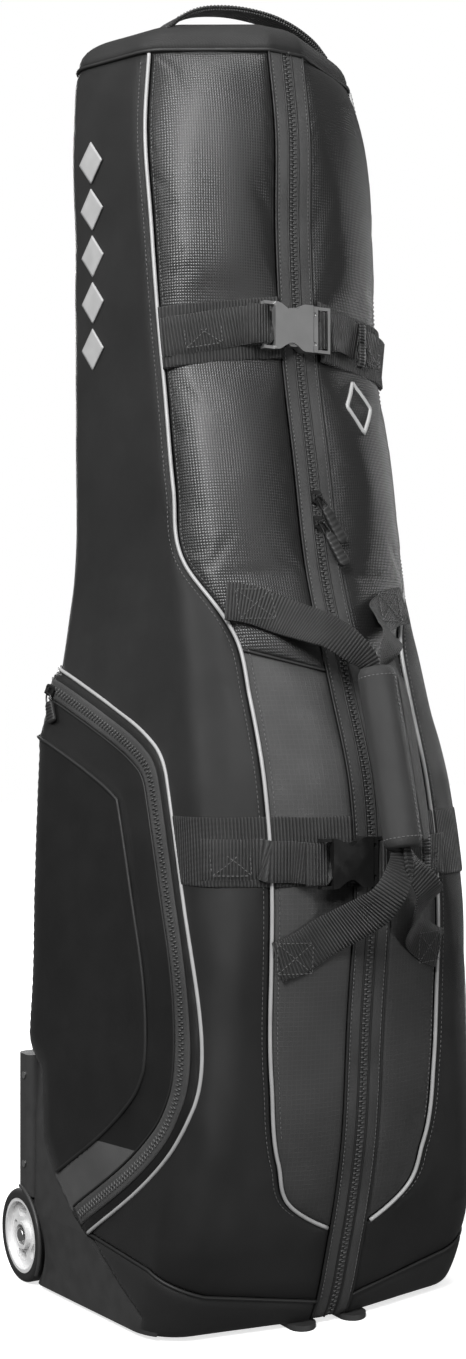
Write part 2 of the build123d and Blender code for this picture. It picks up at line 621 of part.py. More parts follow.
def buckle(left, mid_y, height, lie, reach, prefix):
    """A side-release buckle for 38 mm webbing: socket on the left, plug on the right."""
    mouth = left + SOCKET_LENGTH
    half = BUCKLE_HEIGHT / 2
    face = Plane((0, mid_y, height), x_dir=(1, 0, 0), z_dir=(0, -1, 0))
    front = BUCKLE_THICK / 2

    with BuildPart() as socket:
        with BuildSketch(face.offset(-front)):
            with BuildLine():
                Line((left + 12, -half), (left + 12, half))
                Spline((left + 12, half), (left + 21, half - 2.5), (left + 33, half - 7.5),
                       (left + 42, half - 2), (left + 48, half), tangents=((1, 0), (1, 0)))
                Line((left + 48, half), (mouth, half))
                Line((mouth, half), (mouth, -half))
                Line((mouth, -half), (left + 48, -half))
                Spline((left + 48, -half), (left + 42, 2 - half), (left + 33, 7.5 - half),
                       (left + 21, 2.5 - half), (left + 12, -half), tangents=((-1, 0), (-1, 0)))
            make_face()
        extrude(amount=BUCKLE_THICK)
        with BuildSketch(face.offset(-CAVITY_THICK / 2)):
            with Locations(((left + 16 + mouth + 1) / 2, 0)):
                Rectangle(mouth + 1 - left - 16, 2 * CAVITY_HALF)
        extrude(amount=CAVITY_THICK, mode=Mode.SUBTRACT)
        with BuildSketch(face.offset(-3.5)):
            with Locations((left + 7, half - 1.5), (left + 7, 1.5 - half)):
                Rectangle(13, 3)
        extrude(amount=7)
        with BuildSketch(face.offset(-1.5)):
            with Locations((left + 2.5, 0)):
                Rectangle(3, BUCKLE_HEIGHT - 4)
        extrude(amount=3)
    keep(socket.part, f"{prefix}_buckle_socket")

    with BuildPart() as plug:
        with BuildSketch(face.offset(-4.5)):
            with Locations((mouth + 3.5, 0)):
                Rectangle(5, BUCKLE_HEIGHT - 1)
        extrude(amount=9)
        with BuildSketch(face.offset(-3.5)):
            with Locations((mouth + 12, half - 2), (mouth + 12, 2 - half)):
                Rectangle(18, 3)
        extrude(amount=7)
        with BuildSketch(face.offset(-1.5)):
            with Locations((mouth + 11.5, 0)):
                Rectangle(3, BUCKLE_HEIGHT - 4)
        extrude(amount=3)
        with BuildSketch(face.offset(0.5)):
            with Locations((mouth + 19.5, 0)):
                Rectangle(3, BUCKLE_HEIGHT - 4)
        extrude(amount=3)
        with BuildSketch(face.offset(-2)):
            with Locations((mouth - 11, 0)):
                Rectangle(26, 9)
        extrude(amount=4)
        with BuildSketch(face.offset(-4.6)):
            with Locations((mouth + 2, PRONG_Z), (mouth + 2, -PRONG_Z)):
                Circle(2.2 + 0.06)
            with Locations((mouth, PRONG_Z), (mouth, -PRONG_Z)):
                Rectangle(4, 4.6)
        extrude(amount=9.2, mode=Mode.SUBTRACT)
    keep(plug.part, f"{prefix}_buckle_plug")

    for side, name in ((1, "top"), (-1, "bottom")):
        with BuildPart() as prong:
            with BuildSketch(face.offset(-3)):
                with Locations((mouth + 2, side * PRONG_Z)):
                    Circle(2.2)
                with BuildLine():
                    Polyline((mouth + 2, side * (PRONG_Z - 1.6)), (left + 27, side * (PRONG_Z - 1.6)),
                             (left + 27, side * (PRONG_Z + 1)), (left + 31, side * (CAVITY_HALF - 0.3)),
                             (left + 40, side * (CAVITY_HALF - 0.3)), (left + 41, side * (PRONG_Z + 1.6)),
                             (mouth + 2, side * (PRONG_Z + 1.6)), close=True)
                make_face()
            extrude(amount=6)
        keep(prong.part, f"{prefix}_prong_{name}")

    # Webbing: a sewn left strap looped round the socket's bar, a sewn right strap,
    # and the adjustable strap that is threaded through the plug.
    right_from = mouth + SEWN_REACH
    with BuildPart() as straps:
        add(ribbon([(-reach, front_y(reach, height) - lie), (left - 10, front_y(left - 10, height) - lie),
                    (left + 7.6, mid_y + 3.6), (left + 7.6, mid_y - 3.9), (left - 12, mid_y - 3.9)], height))
        add(ribbon([(right_from, front_y(right_from, height) - lie),
                    (reach, front_y(reach, height) - lie)], height))
    keep(straps.part, f"{prefix}_strap")
    with BuildPart() as tail:
        tip = right_from + 4
        add(ribbon([(tip, front_y(tip, height) - lie - 5), (mouth + 26, mid_y + 3),
                    (mouth + 8.3, mid_y + 2.9), (mouth + 8.3, mid_y - 3.2),
                    (mouth + 15.5, mid_y - 3.2)], height))
    keep(tail.part, f"{prefix}_strap_tail")


buckle(UPPER_BUCKLE_X, UPPER_BUCKLE_Y, UPPER_BELT_Z, UPPER_LIE, UPPER_REACH, "upper")
buckle(LOWER_BUCKLE_X, LOWER_BUCKLE_Y, LOWER_BELT_Z, LOWER_LIE, LOWER_REACH, "lower")

# ------------------------------------------------------------ carry handle
wrap_axis = Vector(*WRAP_TOP) - Vector(*WRAP_FOOT)
wrap_plane = Plane(WRAP_FOOT, x_dir=(1, 0, 0), z_dir=wrap_axis)


def webbing_loop(side):
    """One loop of the carry handle: sewn ends at the seam, middle inside the wrap."""
    top = wrap_plane.from_local_coords((side * LOOP_X, 0, WRAP_LENGTH + 20))
    foot = wrap_plane.from_local_coords((side * LOOP_X, 0, -22))
    seam_x = side * HANDLE_END_X
    upper_end = (seam_x, front_y(seam_x, HANDLE_UPPER_Z) - 8, HANDLE_UPPER_Z)
    lower_end = (seam_x, front_y(seam_x, HANDLE_LOWER_Z) - 6, HANDLE_LOWER_Z)
    with BuildPart() as loop:
        with BuildSketch(Plane(foot, x_dir=(1, 0, 0), z_dir=wrap_axis)):
            Rectangle(2 * LOOP_X - 1, LOOP_DEPTH)
        extrude(amount=(top - foot).length)
        add(strip(top, upper_end, WEB, WEB_THICK))
        add(strip(foot, lower_end, WEB, WEB_THICK))
    return loop.part


with BuildPart() as carry_webbing:
    add(webbing_loop(1))
    add(webbing_loop(-1))
keep(carry_webbing.part, "carry_webbing")

with BuildPart() as handle_wrap:
    with BuildSketch(wrap_plane):
        RectangleRounded(WRAP_WIDTH, WRAP_DEPTH, 13)
        Rectangle(4 * LOOP_X + 0.6, LOOP_DEPTH + 1, mode=Mode.SUBTRACT)
    extrude(amount=WRAP_LENGTH)
keep(handle_wrap.part, "handle_wrap")

with BuildPart() as wrap_flap:
    with BuildSketch(wrap_plane.offset(6)):
        with Locations((FLAP_AXIS_X, 0)):
            Circle(1.6)
        with Locations(Location((FLAP_AXIS_X + 0.6, 0, 0), (0, 0, 35))):
            Rectangle(26, 2.4, align=(Align.MIN, Align.CENTER))
    extrude(amount=WRAP_LENGTH - 12)
keep(wrap_flap.part, "wrap_flap")

# -------------------------------------------------------------- top handle
with BuildPart() as top_handle:
    with BuildSketch(Plane.XZ.offset(-TOP_HANDLE_Y - 15)):
        with BuildLine() as arch:
            Spline((-TOP_HANDLE_FOOT_X, TOP_HANDLE_FOOT_Z), (-30, TOP_HANDLE_PEAK - 1),
                   (30, TOP_HANDLE_PEAK - 1), (TOP_HANDLE_FOOT_X, TOP_HANDLE_FOOT_Z))
        trace(arch.line, 2.4)
    extrude(amount=30)
    add(bag_loft(1), mode=Mode.SUBTRACT)
keep(top_handle.part, "top_handle")

with BuildPart() as rivet:
    for share in (0.88, 0.95):
        spot = arch.line @ share
        slope = arch.line % share
        normal = Vector(-slope.Z, 0, slope.X)
        centre = Vector(spot.X, TOP_HANDLE_Y, spot.Z) + normal * 1.5
        with BuildSketch(Plane(centre, x_dir=(0, 1, 0), z_dir=normal)):
            Circle(4)
            Circle(1.6, mode=Mode.SUBTRACT)
        extrude(amount=2)
across("handle_rivets", rivet.part)

# ----------------------------------------------------------------- keepers
with BuildPart() as strap_keepers:
    for x, height, lie in KEEPERS:
        mid = (x, front_y(x, height) - lie, height)
        slope = Vector(20, front_y(x + 10, height) - front_y(x - 10, height), 0)
        upright = Plane(mid, x_dir=slope.cross(Vector(0, 0, 1)), z_dir=slope)
        with BuildSketch(upright.offset(-KEEPER_WIDTH / 2)):
            Rectangle(5.2, WEB + 6)
            Rectangle(2.8, WEB + 2, mode=Mode.SUBTRACT)
        extrude(amount=KEEPER_WIDTH)
keep(strap_keepers.part, "strap_keepers")
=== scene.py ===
"""Looks of the wheeled golf travel case: sewn shell, belts, pockets, handles and materials."""
import math

import bpy
import numpy as np
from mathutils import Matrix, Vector, noise
from mathutils.geometry import delaunay_2d_cdt


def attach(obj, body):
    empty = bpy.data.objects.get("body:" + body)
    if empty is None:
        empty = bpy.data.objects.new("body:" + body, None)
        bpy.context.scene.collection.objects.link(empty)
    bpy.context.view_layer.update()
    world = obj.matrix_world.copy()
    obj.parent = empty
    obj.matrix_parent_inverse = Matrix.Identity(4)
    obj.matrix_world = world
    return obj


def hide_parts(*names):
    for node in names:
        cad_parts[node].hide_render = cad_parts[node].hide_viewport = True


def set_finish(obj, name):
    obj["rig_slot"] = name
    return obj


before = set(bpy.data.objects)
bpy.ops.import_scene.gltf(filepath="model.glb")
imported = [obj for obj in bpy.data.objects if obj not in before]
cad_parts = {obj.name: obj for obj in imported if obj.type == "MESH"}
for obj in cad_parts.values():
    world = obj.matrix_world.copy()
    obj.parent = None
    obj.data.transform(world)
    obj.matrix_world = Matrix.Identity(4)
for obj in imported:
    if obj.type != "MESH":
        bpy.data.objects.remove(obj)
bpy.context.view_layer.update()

MM = 0.001

# ------------------------------------------------------------- bag surface
# Horizontal sections of the sewn bag in mm: height, nose y, corner x, corner y, back x, back y.
SECTIONS = np.array([
    (0, -83, 172, -56, 198, 165),
    (16, -92, 173, -68, 199, 165),
    (80, -114, 172, -96, 202, 165),
    (172, -137, 158, -114, 202, 165),
    (300, -149, 150, -118, 194, 165),
    (430, -160, 146, -114, 190, 165),
    (520, -152, 141, -96, 186, 165),
    (610, -120, 133, -70, 177, 165),
    (720, -79.5, 127, -42, 159, 165),
    (830, -57, 127, -17, 158, 165),
    (935, -36, 127, 6, 159, 165),
    (1060, -25, 129, 20, 160, 165),
    (1160, -24, 131, 36, 164, 165),
    (1240, -11, 120, 51, 164, 165),
], float)
NOSE_HALF = 20
NOSE_RADIUS, CORNER_RADIUS, BACK_RADIUS = 12, 48, 28
TOP = 1240                  # seam of the top cap
DOME = 46                   # rise of the top cap above its seam
ROW = 4                     # mm between tabulated rows


def through(table, at):
    """A smooth curve through rows of (position, values...), read at several positions."""
    at = np.asarray(at, float)
    x = table[:, 0]
    slope = np.gradient(table[:, 1:], x, axis=0)
    i = np.clip(np.searchsorted(x, at) - 1, 0, len(x) - 2)
    step = (x[i + 1] - x[i])[..., None]
    t = np.clip((at - x[i])[..., None] / step, 0, 1)
    a, b = table[i, 1:], table[i + 1, 1:]
    return ((2 * t**3 - 3 * t**2 + 1) * a + (t**3 - 2 * t**2 + t) * step * slope[i]
            + (3 * t**2 - 2 * t**3) * b + (t**3 - t**2) * step * slope[i + 1])


def run_along(line):
    """Distance along a line at each of its points."""
    return np.concatenate([[0], np.cumsum(np.linalg.norm(np.diff(line, axis=0), axis=1))])


def unit(vectors):
    """Vectors scaled to length one along their last axis."""
    return vectors / np.linalg.norm(vectors, axis=-1, keepdims=True)


def outline(nose_y, corner_x, corner_y, back_x, back_y):
    """Right half of a section as a fine line from the front middle to the back middle."""
    corners = [Vector((0, nose_y)), Vector((NOSE_HALF, nose_y)), Vector((corner_x, corner_y)),
               Vector((back_x, back_y)), Vector((0, back_y))]
    radii = [NOSE_RADIUS, CORNER_RADIUS, BACK_RADIUS]
    line = [corners[0]]
    for i, radius in enumerate(radii, start=1):
        before = (corners[i - 1] - corners[i]).normalized()
        after = (corners[i + 1] - corners[i]).normalized()
        half = before.angle(after) / 2
        reach = radius / math.tan(half)
        centre = corners[i] + (before + after).normalized() * radius / math.sin(half)
        start = corners[i] + before * reach - centre
        turn = math.pi - 2 * half
        sense = 1 if start.to_3d().cross(Vector((*-before, 0))).z > 0 else -1
        for k in range(17):
            c, s = math.cos(sense * turn * k / 16), math.sin(sense * turn * k / 16)
            line.append(centre + Vector((start.x * c - start.y * s, start.x * s + start.y * c)))
    line.append(corners[-1])
    return np.array([tuple(p) for p in line])


def tabulate():
    """Points every millimetre round the right half of each row, and each row's length."""
    rows = through(SECTIONS, np.arange(0, TOP + 1, ROW))
    grid = np.zeros((len(rows), 700, 2))
    lengths = np.zeros(len(rows))
    for i, row in enumerate(rows):
        line = outline(*row)
        run = run_along(line)
        at = np.arange(700.0)
        grid[i, :, 0] = np.interp(at, run, line[:, 0])
        grid[i, :, 1] = np.interp(at, run, line[:, 1])
        past = at > run[-1]
        grid[i, past, 0] = -(at[past] - run[-1])
        lengths[i] = run[-1]
    return grid, lengths


GRID, LENGTHS = tabulate()


def flat_point(a, z):
    """Bilinear point of the bag at arc length a from the front middle and height z."""
    a, z = np.broadcast_arrays(np.asarray(a, float), np.asarray(z, float))
    r = np.clip(z / ROW, 0, len(GRID) - 1.001)
    c = np.clip(a, 0, 698.9)
    i, j = r.astype(int), c.astype(int)
    fr, fc = (r - i)[..., None], (c - j)[..., None]
    xy = ((GRID[i, j] * (1 - fc) + GRID[i, j + 1] * fc) * (1 - fr)
          + (GRID[i + 1, j] * (1 - fc) + GRID[i + 1, j + 1] * fc) * fr)
    return np.concatenate([xy, z[..., None]], axis=-1)


def surface(s, z, lift=0.0):
    """Point and outward normal on the bag; s is signed arc length, right side positive."""
    s, z, lift = np.broadcast_arrays(np.asarray(s, float), np.asarray(z, float), np.asarray(lift, float))
    a = np.abs(s)
    side = np.where(s < 0, -1.0, 1.0)
    around = flat_point(a + 2, z) - flat_point(np.maximum(a - 2, 0), z)
    low, high = np.maximum(z - 6, 0), np.minimum(z + 6, TOP)
    up = flat_point(a, high) - flat_point(a, low)
    normal = unit(np.cross(around, up))
    normal = unit(np.where((a < 0.5)[..., None], normal * [0, 1, 1], normal))
    point = flat_point(a, z) + normal * lift[..., None]
    point[..., 0] *= side
    normal[..., 0] *= side
    return point, normal


def arc_where(column, limit, value, z):
    """Arc length, up to a limit, where a row of the table first reaches a value of x or y."""
    z = np.asarray(z, float)
    value = np.broadcast_to(np.asarray(value, float), z.shape)
    return np.array([np.interp(one, np.maximum.accumulate(row[:limit, column]), np.arange(float(limit)))
                     for one, row in zip(value.ravel(), flat_rows(z))]).reshape(z.shape)


def s_at_x(x, z):
    """Arc length where the front reaches a distance x from the middle."""
    return arc_where(0, 420, x, z)


def s_at_y(y, z):
    """Arc length where the side reaches a given y."""
    return arc_where(1, 700, y, z)


def flat_rows(z):
    """Rows of the table at given heights, blended between neighbours."""
    r = np.clip(z.ravel() / ROW, 0, len(GRID) - 1.001)
    i = r.astype(int)
    f = (r - i)[:, None, None]
    return GRID[i] * (1 - f) + GRID[i + 1] * f


def length_at(z):
    return np.interp(z, np.arange(len(LENGTHS)) * ROW, LENGTHS)


# Piped seam between front and sides: height, distance from the middle.
PIPING = np.array([(103, 22), (112, 40), (125, 60), (172, 82), (250, 92), (352, 94), (488, 92), (600, 91),
                   (650, 93), (725, 124), (800, 126), (917, 125), (1060, 128), (1160, 129),
                   (1240, 118)], float)
PIPING_TABLE = np.column_stack([np.arange(103, TOP + 1, 3),
                                s_at_x(through(PIPING, np.arange(103, TOP + 1, 3))[:, 0],
                                       np.arange(103, TOP + 1, 3))])


def s_piping(z):
    return np.interp(z, PIPING_TABLE[:, 0], PIPING_TABLE[:, 1])


TAPE_EDGE = 20.0
BACK_SEAM_Y = 156
BACK_TABLE = np.column_stack([np.arange(0, TOP + 1, 8), s_at_y(BACK_SEAM_Y, np.arange(0.0, TOP + 1, 8))])


def s_back(z):
    return np.interp(z, BACK_TABLE[:, 0], BACK_TABLE[:, 1])


# ------------------------------------------------------------- mesh helpers
def add_mesh(name, points, faces, uvs=None, material=None, smooth=True):
    """An object from points in mm, with one uv per vertex in mm."""
    mesh = bpy.data.meshes.new(name)
    corners = [tuple(p) for p in np.asarray(points) * MM]
    mesh.from_pydata(corners, [], [tuple(int(i) for i in f) for f in faces])
    if uvs is not None:
        layer = mesh.uv_layers.new(name="cloth")
        loops = np.zeros(len(mesh.loops), int)
        mesh.loops.foreach_get("vertex_index", loops)
        layer.data.foreach_set("uv", (np.asarray(uvs)[loops] * MM).ravel())
    mesh.polygons.foreach_set("use_smooth", [smooth] * len(mesh.polygons))
    mesh.update()
    piece = bpy.data.objects.new(name, mesh)
    bpy.context.collection.objects.link(piece)
    if material is not None:
        mesh.materials.append(material)
    return piece


def grid_faces(nu, nv, start=0, flip=False):
    quads = []
    for i in range(nu - 1):
        for j in range(nv - 1):
            a = start + i * nv + j
            quad = (a, a + nv, a + nv + 1, a + 1)
            quads.append(quad[::-1] if flip else quad)
    return quads


def ring_faces(rings, sides, start=0, ends=True):
    """Quads round a stack of closed rings of points, with a face over each end."""
    faces = []
    for i in range(rings - 1):
        low, high = start + i * sides, start + (i + 1) * sides
        for j in range(sides):
            k = (j + 1) % sides
            faces.append((low + j, low + k, high + k, high + j))
    if ends:
        last = start + (rings - 1) * sides
        faces += [tuple(range(start, start + sides))[::-1], tuple(range(last, last + sides))]
    return faces


def solid_grid(name, outer, normal, thick, uv, material):
    """A closed sheet: an outer grid of points, an inner copy behind it and a rim."""
    nu, nv = outer.shape[:2]
    inner = outer - normal * np.asarray(thick)[..., None]
    points = np.concatenate([outer.reshape(-1, 3), inner.reshape(-1, 3)])
    count = nu * nv
    faces = grid_faces(nu, nv) + grid_faces(nu, nv, count, True)
    rim = [i * nv for i in range(nu)] + [(nu - 1) * nv + j for j in range(1, nv)]
    rim += [i * nv + nv - 1 for i in range(nu - 2, -1, -1)] + [j for j in range(nv - 2, 0, -1)]
    for a, b in zip(rim, rim[1:] + rim[:1]):
        faces.append((b, a, a + count, b + count))
    uvs = np.concatenate([uv.reshape(-1, 2)] * 2)
    return add_mesh(name, points, faces, uvs, material)


def ease(d, reach):
    """0 at an edge rising in a quarter circle to 1 at reach and beyond."""
    t = np.clip(1 - d / reach, 0, 1)
    return np.sqrt(np.clip(1 - t * t, 0, 1))


def spread(n, crowd=0.6):
    """Positions from 0 to 1, crowded towards both ends."""
    t = np.linspace(0, 1, n)
    return (1 - crowd) * t + crowd * (1 - np.cos(math.pi * t)) / 2


def crease(points, size, depth):
    """Soft random rumple for each point."""
    flat = points.reshape(-1, 3) / size
    values = [noise.noise(Vector(p)) + 0.5 * noise.noise(Vector(p) * 2.3) for p in flat]
    return depth * np.array(values).reshape(points.shape[:-1])


def panel(name, s_left, s_right, z_low, z_high, cells, puff, material, base=0.0, edge=16, thick=4.0,
          rumple=0.5, extra=None, body="case"):
    """A padded panel between two seam lines; s_* take heights, z_* take shares of the width."""
    u, v = np.meshgrid(spread(cells[0]), spread(cells[1]), indexing="ij")
    z = z_low(u) + (z_high(u) - z_low(u)) * v
    left, right = s_left(z), s_right(z)
    s = left + (right - left) * u
    width, height = np.abs(right - left), z_high(u) - z_low(u)
    rise = ease(np.minimum(u, 1 - u) * width, edge) * ease(np.minimum(v, 1 - v) * height, edge)
    flat, _ = surface(s, z)
    lift = base - 1.2 + rise * (puff + 1.2) + crease(flat * [1, 1, 0.6], 60, rumple) * rise
    if extra is not None:
        lift = lift + extra(s, z) * rise
    point, normal = surface(s, z, lift)
    piece = solid_grid(name, point, normal, np.full(u.shape, thick), np.stack([s, z], -1), material)
    return label(piece, body=body)


def flipped(piece, name):
    """The same piece on the other side of the case."""
    mesh = piece.data.copy()
    co = np.zeros(len(mesh.vertices) * 3)
    mesh.vertices.foreach_get("co", co)
    co[0::3] *= -1
    mesh.vertices.foreach_set("co", co)
    mesh.flip_normals()
    mesh.update()
    twin = bpy.data.objects.new(name, mesh)
    bpy.context.collection.objects.link(twin)
    return twin


def label(piece, slot_name=None, node=None, body=None):
    """Put a piece on its body, name its material slot and hide the CAD node it stands in for."""
    if body:
        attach(piece, body)
    if slot_name:
        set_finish(piece, slot_name)
    if node:
        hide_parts(node)
    return piece


def mirror(piece, slot_name=None, node=None):
    """The left twin of a piece on the right."""
    twin = flipped(piece, piece.name.replace("right", "left"))
    return label(twin, slot_name, node, "case")


def frames_along(path, up):
    """Side and normal at each point of a path, the normal kept near up."""
    tangent = unit(np.gradient(path, axis=0))
    side = unit(np.cross(tangent, np.broadcast_to(np.asarray(up, float), path.shape)))
    return side, np.cross(side, tangent)


def tube(name, path, radius, material, sides=10, up=(0, -1, 0.01), body="case"):
    """A round cord along a path, closed at both ends."""
    path = np.asarray(path, float)
    side, normal = frames_along(path, up)
    radius = np.broadcast_to(radius, len(path))
    turn = np.linspace(0, 2 * math.pi, sides, endpoint=False)
    ring = (side[:, None] * np.cos(turn)[None, :, None] + normal[:, None] * np.sin(turn)[None, :, None])
    points = (path[:, None] + ring * radius[:, None, None]).reshape(-1, 3)
    run = run_along(path)
    faces = ring_faces(len(path), sides)
    uvs = np.stack([np.tile(turn * 2, len(path)), np.repeat(run, sides)], -1)
    piece = add_mesh(name, points, faces, uvs, material)
    return label(piece, body=body)


def strap(name, path, facing, material, width=38.0, thick=2.0, body="case"):
    """Flat webbing along a path, its broad face turned to facing, with rounded selvedges."""
    path = np.asarray(path, float)
    side, normal = frames_along(path, facing)
    width = np.broadcast_to(np.asarray(width, float), len(path))[:, None, None]
    half = thick / 2
    section = [(-1, -0.35), (-1, 0.35), (-0.97, 1), (-0.5, 1), (0, 1), (0.5, 1), (0.97, 1), (1, 0.35),
               (1, -0.35), (0.97, -1), (0.5, -1), (0, -1), (-0.5, -1), (-0.97, -1)]
    across = np.array([a for a, _ in section])[None, :, None]
    through_ = np.array([b for _, b in section])[None, :, None]
    points = path[:, None] + side[:, None] * across * width / 2 + normal[:, None] * through_ * half
    run = run_along(path)
    n = len(section)
    faces = [face[::-1] for face in ring_faces(len(path), n)]
    uvs = np.stack([np.repeat(run, n), np.tile(np.array([a for a, _ in section]) * 19, len(path))], -1)
    piece = add_mesh(name, points.reshape(-1, 3), faces, uvs, material)
    return label(piece, body=body)


def curve_points(anchors, n):
    """A smooth line of n points through a few anchor points."""
    anchors = np.asarray(anchors, float)
    run = run_along(anchors)
    return through(np.column_stack([run, anchors]), np.linspace(0, run[-1], n))


# --------------------------------------------------------------- materials
class Shader:
    """A small builder for node materials."""

    def __init__(self, name, roughness, metallic=0.0):
        self.material = bpy.data.materials.new(name)
        self.material.use_nodes = True
        self.tree = self.material.node_tree
        self.bsdf = self.tree.nodes["Principled BSDF"]
        self.bsdf.inputs["Roughness"].default_value = roughness
        self.bsdf.inputs["Metallic"].default_value = metallic
        self.height = None

    def node(self, kind, **values):
        made = self.tree.nodes.new(kind)
        for key, value in values.items():
            setattr(made, key, value)
        return made

    def link(self, source, target):
        self.tree.links.new(source, target)

    def math(self, operation, a, b=None):
        made = self.node("ShaderNodeMath", operation=operation)
        for socket, value in zip(made.inputs, (a, b)):
            if value is None:
                continue
            if isinstance(value, (int, float)):
                socket.default_value = value
            else:
                self.link(value, socket)
        return made.outputs[0]

    def uv(self):
        split = self.node("ShaderNodeSeparateXYZ")
        self.link(self.node("ShaderNodeUVMap", uv_map="cloth").outputs[0], split.inputs[0])
        return split.outputs[0], split.outputs[1]

    def wave(self, value, period_mm, shift=0.0):
        """A sine of the uv with a period in millimetres."""
        angle = self.math("MULTIPLY", value, 2 * math.pi / (period_mm * MM))
        return self.math("SINE", self.math("ADD", angle, shift))

    def noise(self, scale, detail=4.0, where="Object"):
        made = self.node("ShaderNodeTexNoise")
        made.inputs["Scale"].default_value = scale
        made.inputs["Detail"].default_value = detail
        self.link(self.node("ShaderNodeTexCoord").outputs[where], made.inputs["Vector"])
        return made.outputs["Fac"]

    def ramp(self, factor, low, high, start=0.3, end=0.7):
        made = self.node("ShaderNodeMapRange")
        self.link(factor, made.inputs["Value"])
        made.inputs["From Min"].default_value = start
        made.inputs["From Max"].default_value = end
        made.inputs["To Min"].default_value = low
        made.inputs["To Max"].default_value = high
        return made.outputs[0]

    def grey(self, value):
        """Base colour from a grey level socket."""
        made = self.node("ShaderNodeCombineColor")
        for socket in made.inputs[:3]:
            self.link(value, socket)
        self.link(made.outputs[0], self.bsdf.inputs["Base Color"])

    def rough(self, value):
        self.link(value, self.bsdf.inputs["Roughness"])

    def bump(self, height, strength, distance=0.4):
        made = self.node("ShaderNodeBump")
        made.inputs["Strength"].default_value = strength
        made.inputs["Distance"].default_value = distance * MM
        self.link(height, made.inputs["Height"])
        if self.height is not None:
            self.link(self.height, made.inputs["Normal"])
        self.height = made.outputs[0]
        self.link(self.height, self.bsdf.inputs["Normal"])


def woven(name, grey, roughness, period=1.1, sheen=0.2, depth=0.35, vary=0.25):
    """Plain weave: threads over and under, a little cloudy in colour."""
    m = Shader(name, roughness)
    u, v = m.uv()
    weave = m.math("MULTIPLY", m.wave(u, period), m.wave(v, period))
    cloud = m.noise(14)
    tone = m.ramp(cloud, grey * (1 - vary), grey * (1 + vary))
    fleck = m.math("MULTIPLY", m.ramp(weave, 0.8, 1.2, -1, 1), tone)
    m.grey(fleck)
    m.rough(m.ramp(m.noise(40), roughness - 0.06, roughness + 0.06))
    m.bump(weave, depth)
    m.bump(m.noise(220, 2), 0.12, 0.3)
    m.bsdf.inputs["Sheen Weight"].default_value = sheen * 0.2
    m.bsdf.inputs["Sheen Roughness"].default_value = 0.4
    m.bsdf.inputs["Specular IOR Level"].default_value = 0.3
    return m.material


def ribbed(name, grey, roughness=0.6, period=2.0, depth=0.8):
    """Nylon webbing: ribs across its length, and finer threads along it."""
    m = Shader(name, roughness)
    u, v = m.uv()
    ribs = m.wave(u, period)
    threads = m.wave(v, 1.1)
    pattern = m.math("ADD", ribs, m.math("MULTIPLY", threads, 0.5))
    contrast = m.ramp(pattern, 0.35, 1.65, -1.4, 1.4)
    tone = m.math("MULTIPLY", contrast, m.ramp(m.noise(20), grey * 0.8, grey * 1.2))
    m.grey(tone)
    m.rough(m.ramp(m.noise(60), roughness - 0.1, roughness + 0.08))
    m.bump(pattern, depth, 0.5)
    m.bsdf.inputs["Specular IOR Level"].default_value = 0.35
    return m.material


def dotted(name, grey, roughness):
    """Coated cloth embossed all over with staggered dots."""
    m = Shader(name, roughness)
    u, v = m.uv()
    dots = m.math("MULTIPLY", m.wave(u, 5.0), m.wave(v, 5.6))
    raised = m.math("POWER", m.math("ABSOLUTE", dots), 0.7)
    tone = m.math("MULTIPLY", m.ramp(raised, 0.75, 1.25, 0, 1), m.ramp(m.noise(10), grey * 0.85, grey * 1.15))
    m.grey(tone)
    m.rough(m.ramp(raised, roughness + 0.1, roughness - 0.04, 0, 1))
    m.bump(raised, 0.7, 0.5)
    m.bump(m.noise(30, 2), 0.08, 2.0)
    m.bsdf.inputs["Coat Weight"].default_value = 0.15
    m.bsdf.inputs["Coat Roughness"].default_value = 0.35
    return m.material


def ripstop(name, grey, roughness=0.5):
    """Fine cloth with a grid of thicker threads."""
    m = Shader(name, roughness)
    u, v = m.uv()
    fine = m.math("MULTIPLY", m.wave(u, 0.9), m.wave(v, 0.9))
    grid = m.math("MAXIMUM", m.math("POWER", m.math("ABSOLUTE", m.wave(u, 9)), 24),
                  m.math("POWER", m.math("ABSOLUTE", m.wave(v, 9)), 24))
    tone = m.math("MULTIPLY", m.ramp(grid, 0.95, 1.2, 0, 1), m.ramp(m.noise(16), grey * 0.85, grey * 1.15))
    m.grey(tone)
    m.rough(m.ramp(m.noise(50), roughness - 0.05, roughness + 0.1))
    m.bump(m.math("ADD", fine, m.math("MULTIPLY", grid, 1.5)), 0.35, 0.3)
    m.bsdf.inputs["Specular IOR Level"].default_value = 0.45
    return m.material


def moulded(name, grey, roughness, grain=900, depth=0.2, metallic=0.0, wear=0.15):
    """Moulded plastic, rubber or painted metal with a fine grain and slight wear."""
    m = Shader(name, roughness, metallic)
    scuff = m.noise(60, 6)
    m.grey(m.ramp(scuff, grey * (1 - wear), grey * (1 + wear)))
    m.rough(m.ramp(m.noise(90, 5), roughness - 0.5 * wear, roughness + 0.6 * wear))
    m.bump(m.noise(grain, 2), depth, 0.15)
    return m.material


SHELL = woven("shell_cloth", 0.015, 0.6, 1.0)
SIDE = woven("side_cloth", 0.010, 0.46, 1.0, sheen=0.2)
PAD = dotted("dot_embossed_pad", 0.011, 0.33)
FRONT = ripstop("ripstop_front", 0.03)
POCKET = woven("pocket_cloth", 0.007, 0.42, 1.2)
PATCH = woven("gusset_cloth", 0.075, 0.6, 0.9)
WEBBING = ribbed("webbing", 0.034, 0.5, 3.0, 1.0)
BAND = ribbed("belt_band", 0.03, 0.55, 3.2, 1.0)
TAPE = woven("zip_tape_cloth", 0.05, 0.6, 0.7, depth=0.5)
COIL = moulded("zip_coil_nylon", 0.06, 0.42, 500)
WELT = moulded("dark_welt", 0.008, 0.6, 700)
PIPE = moulded("silver_piping", 0.34, 0.38, 800, 0.1, wear=0.08)
PLASTIC = moulded("grained_black_plastic", 0.035, 0.45, 1100, 0.3)
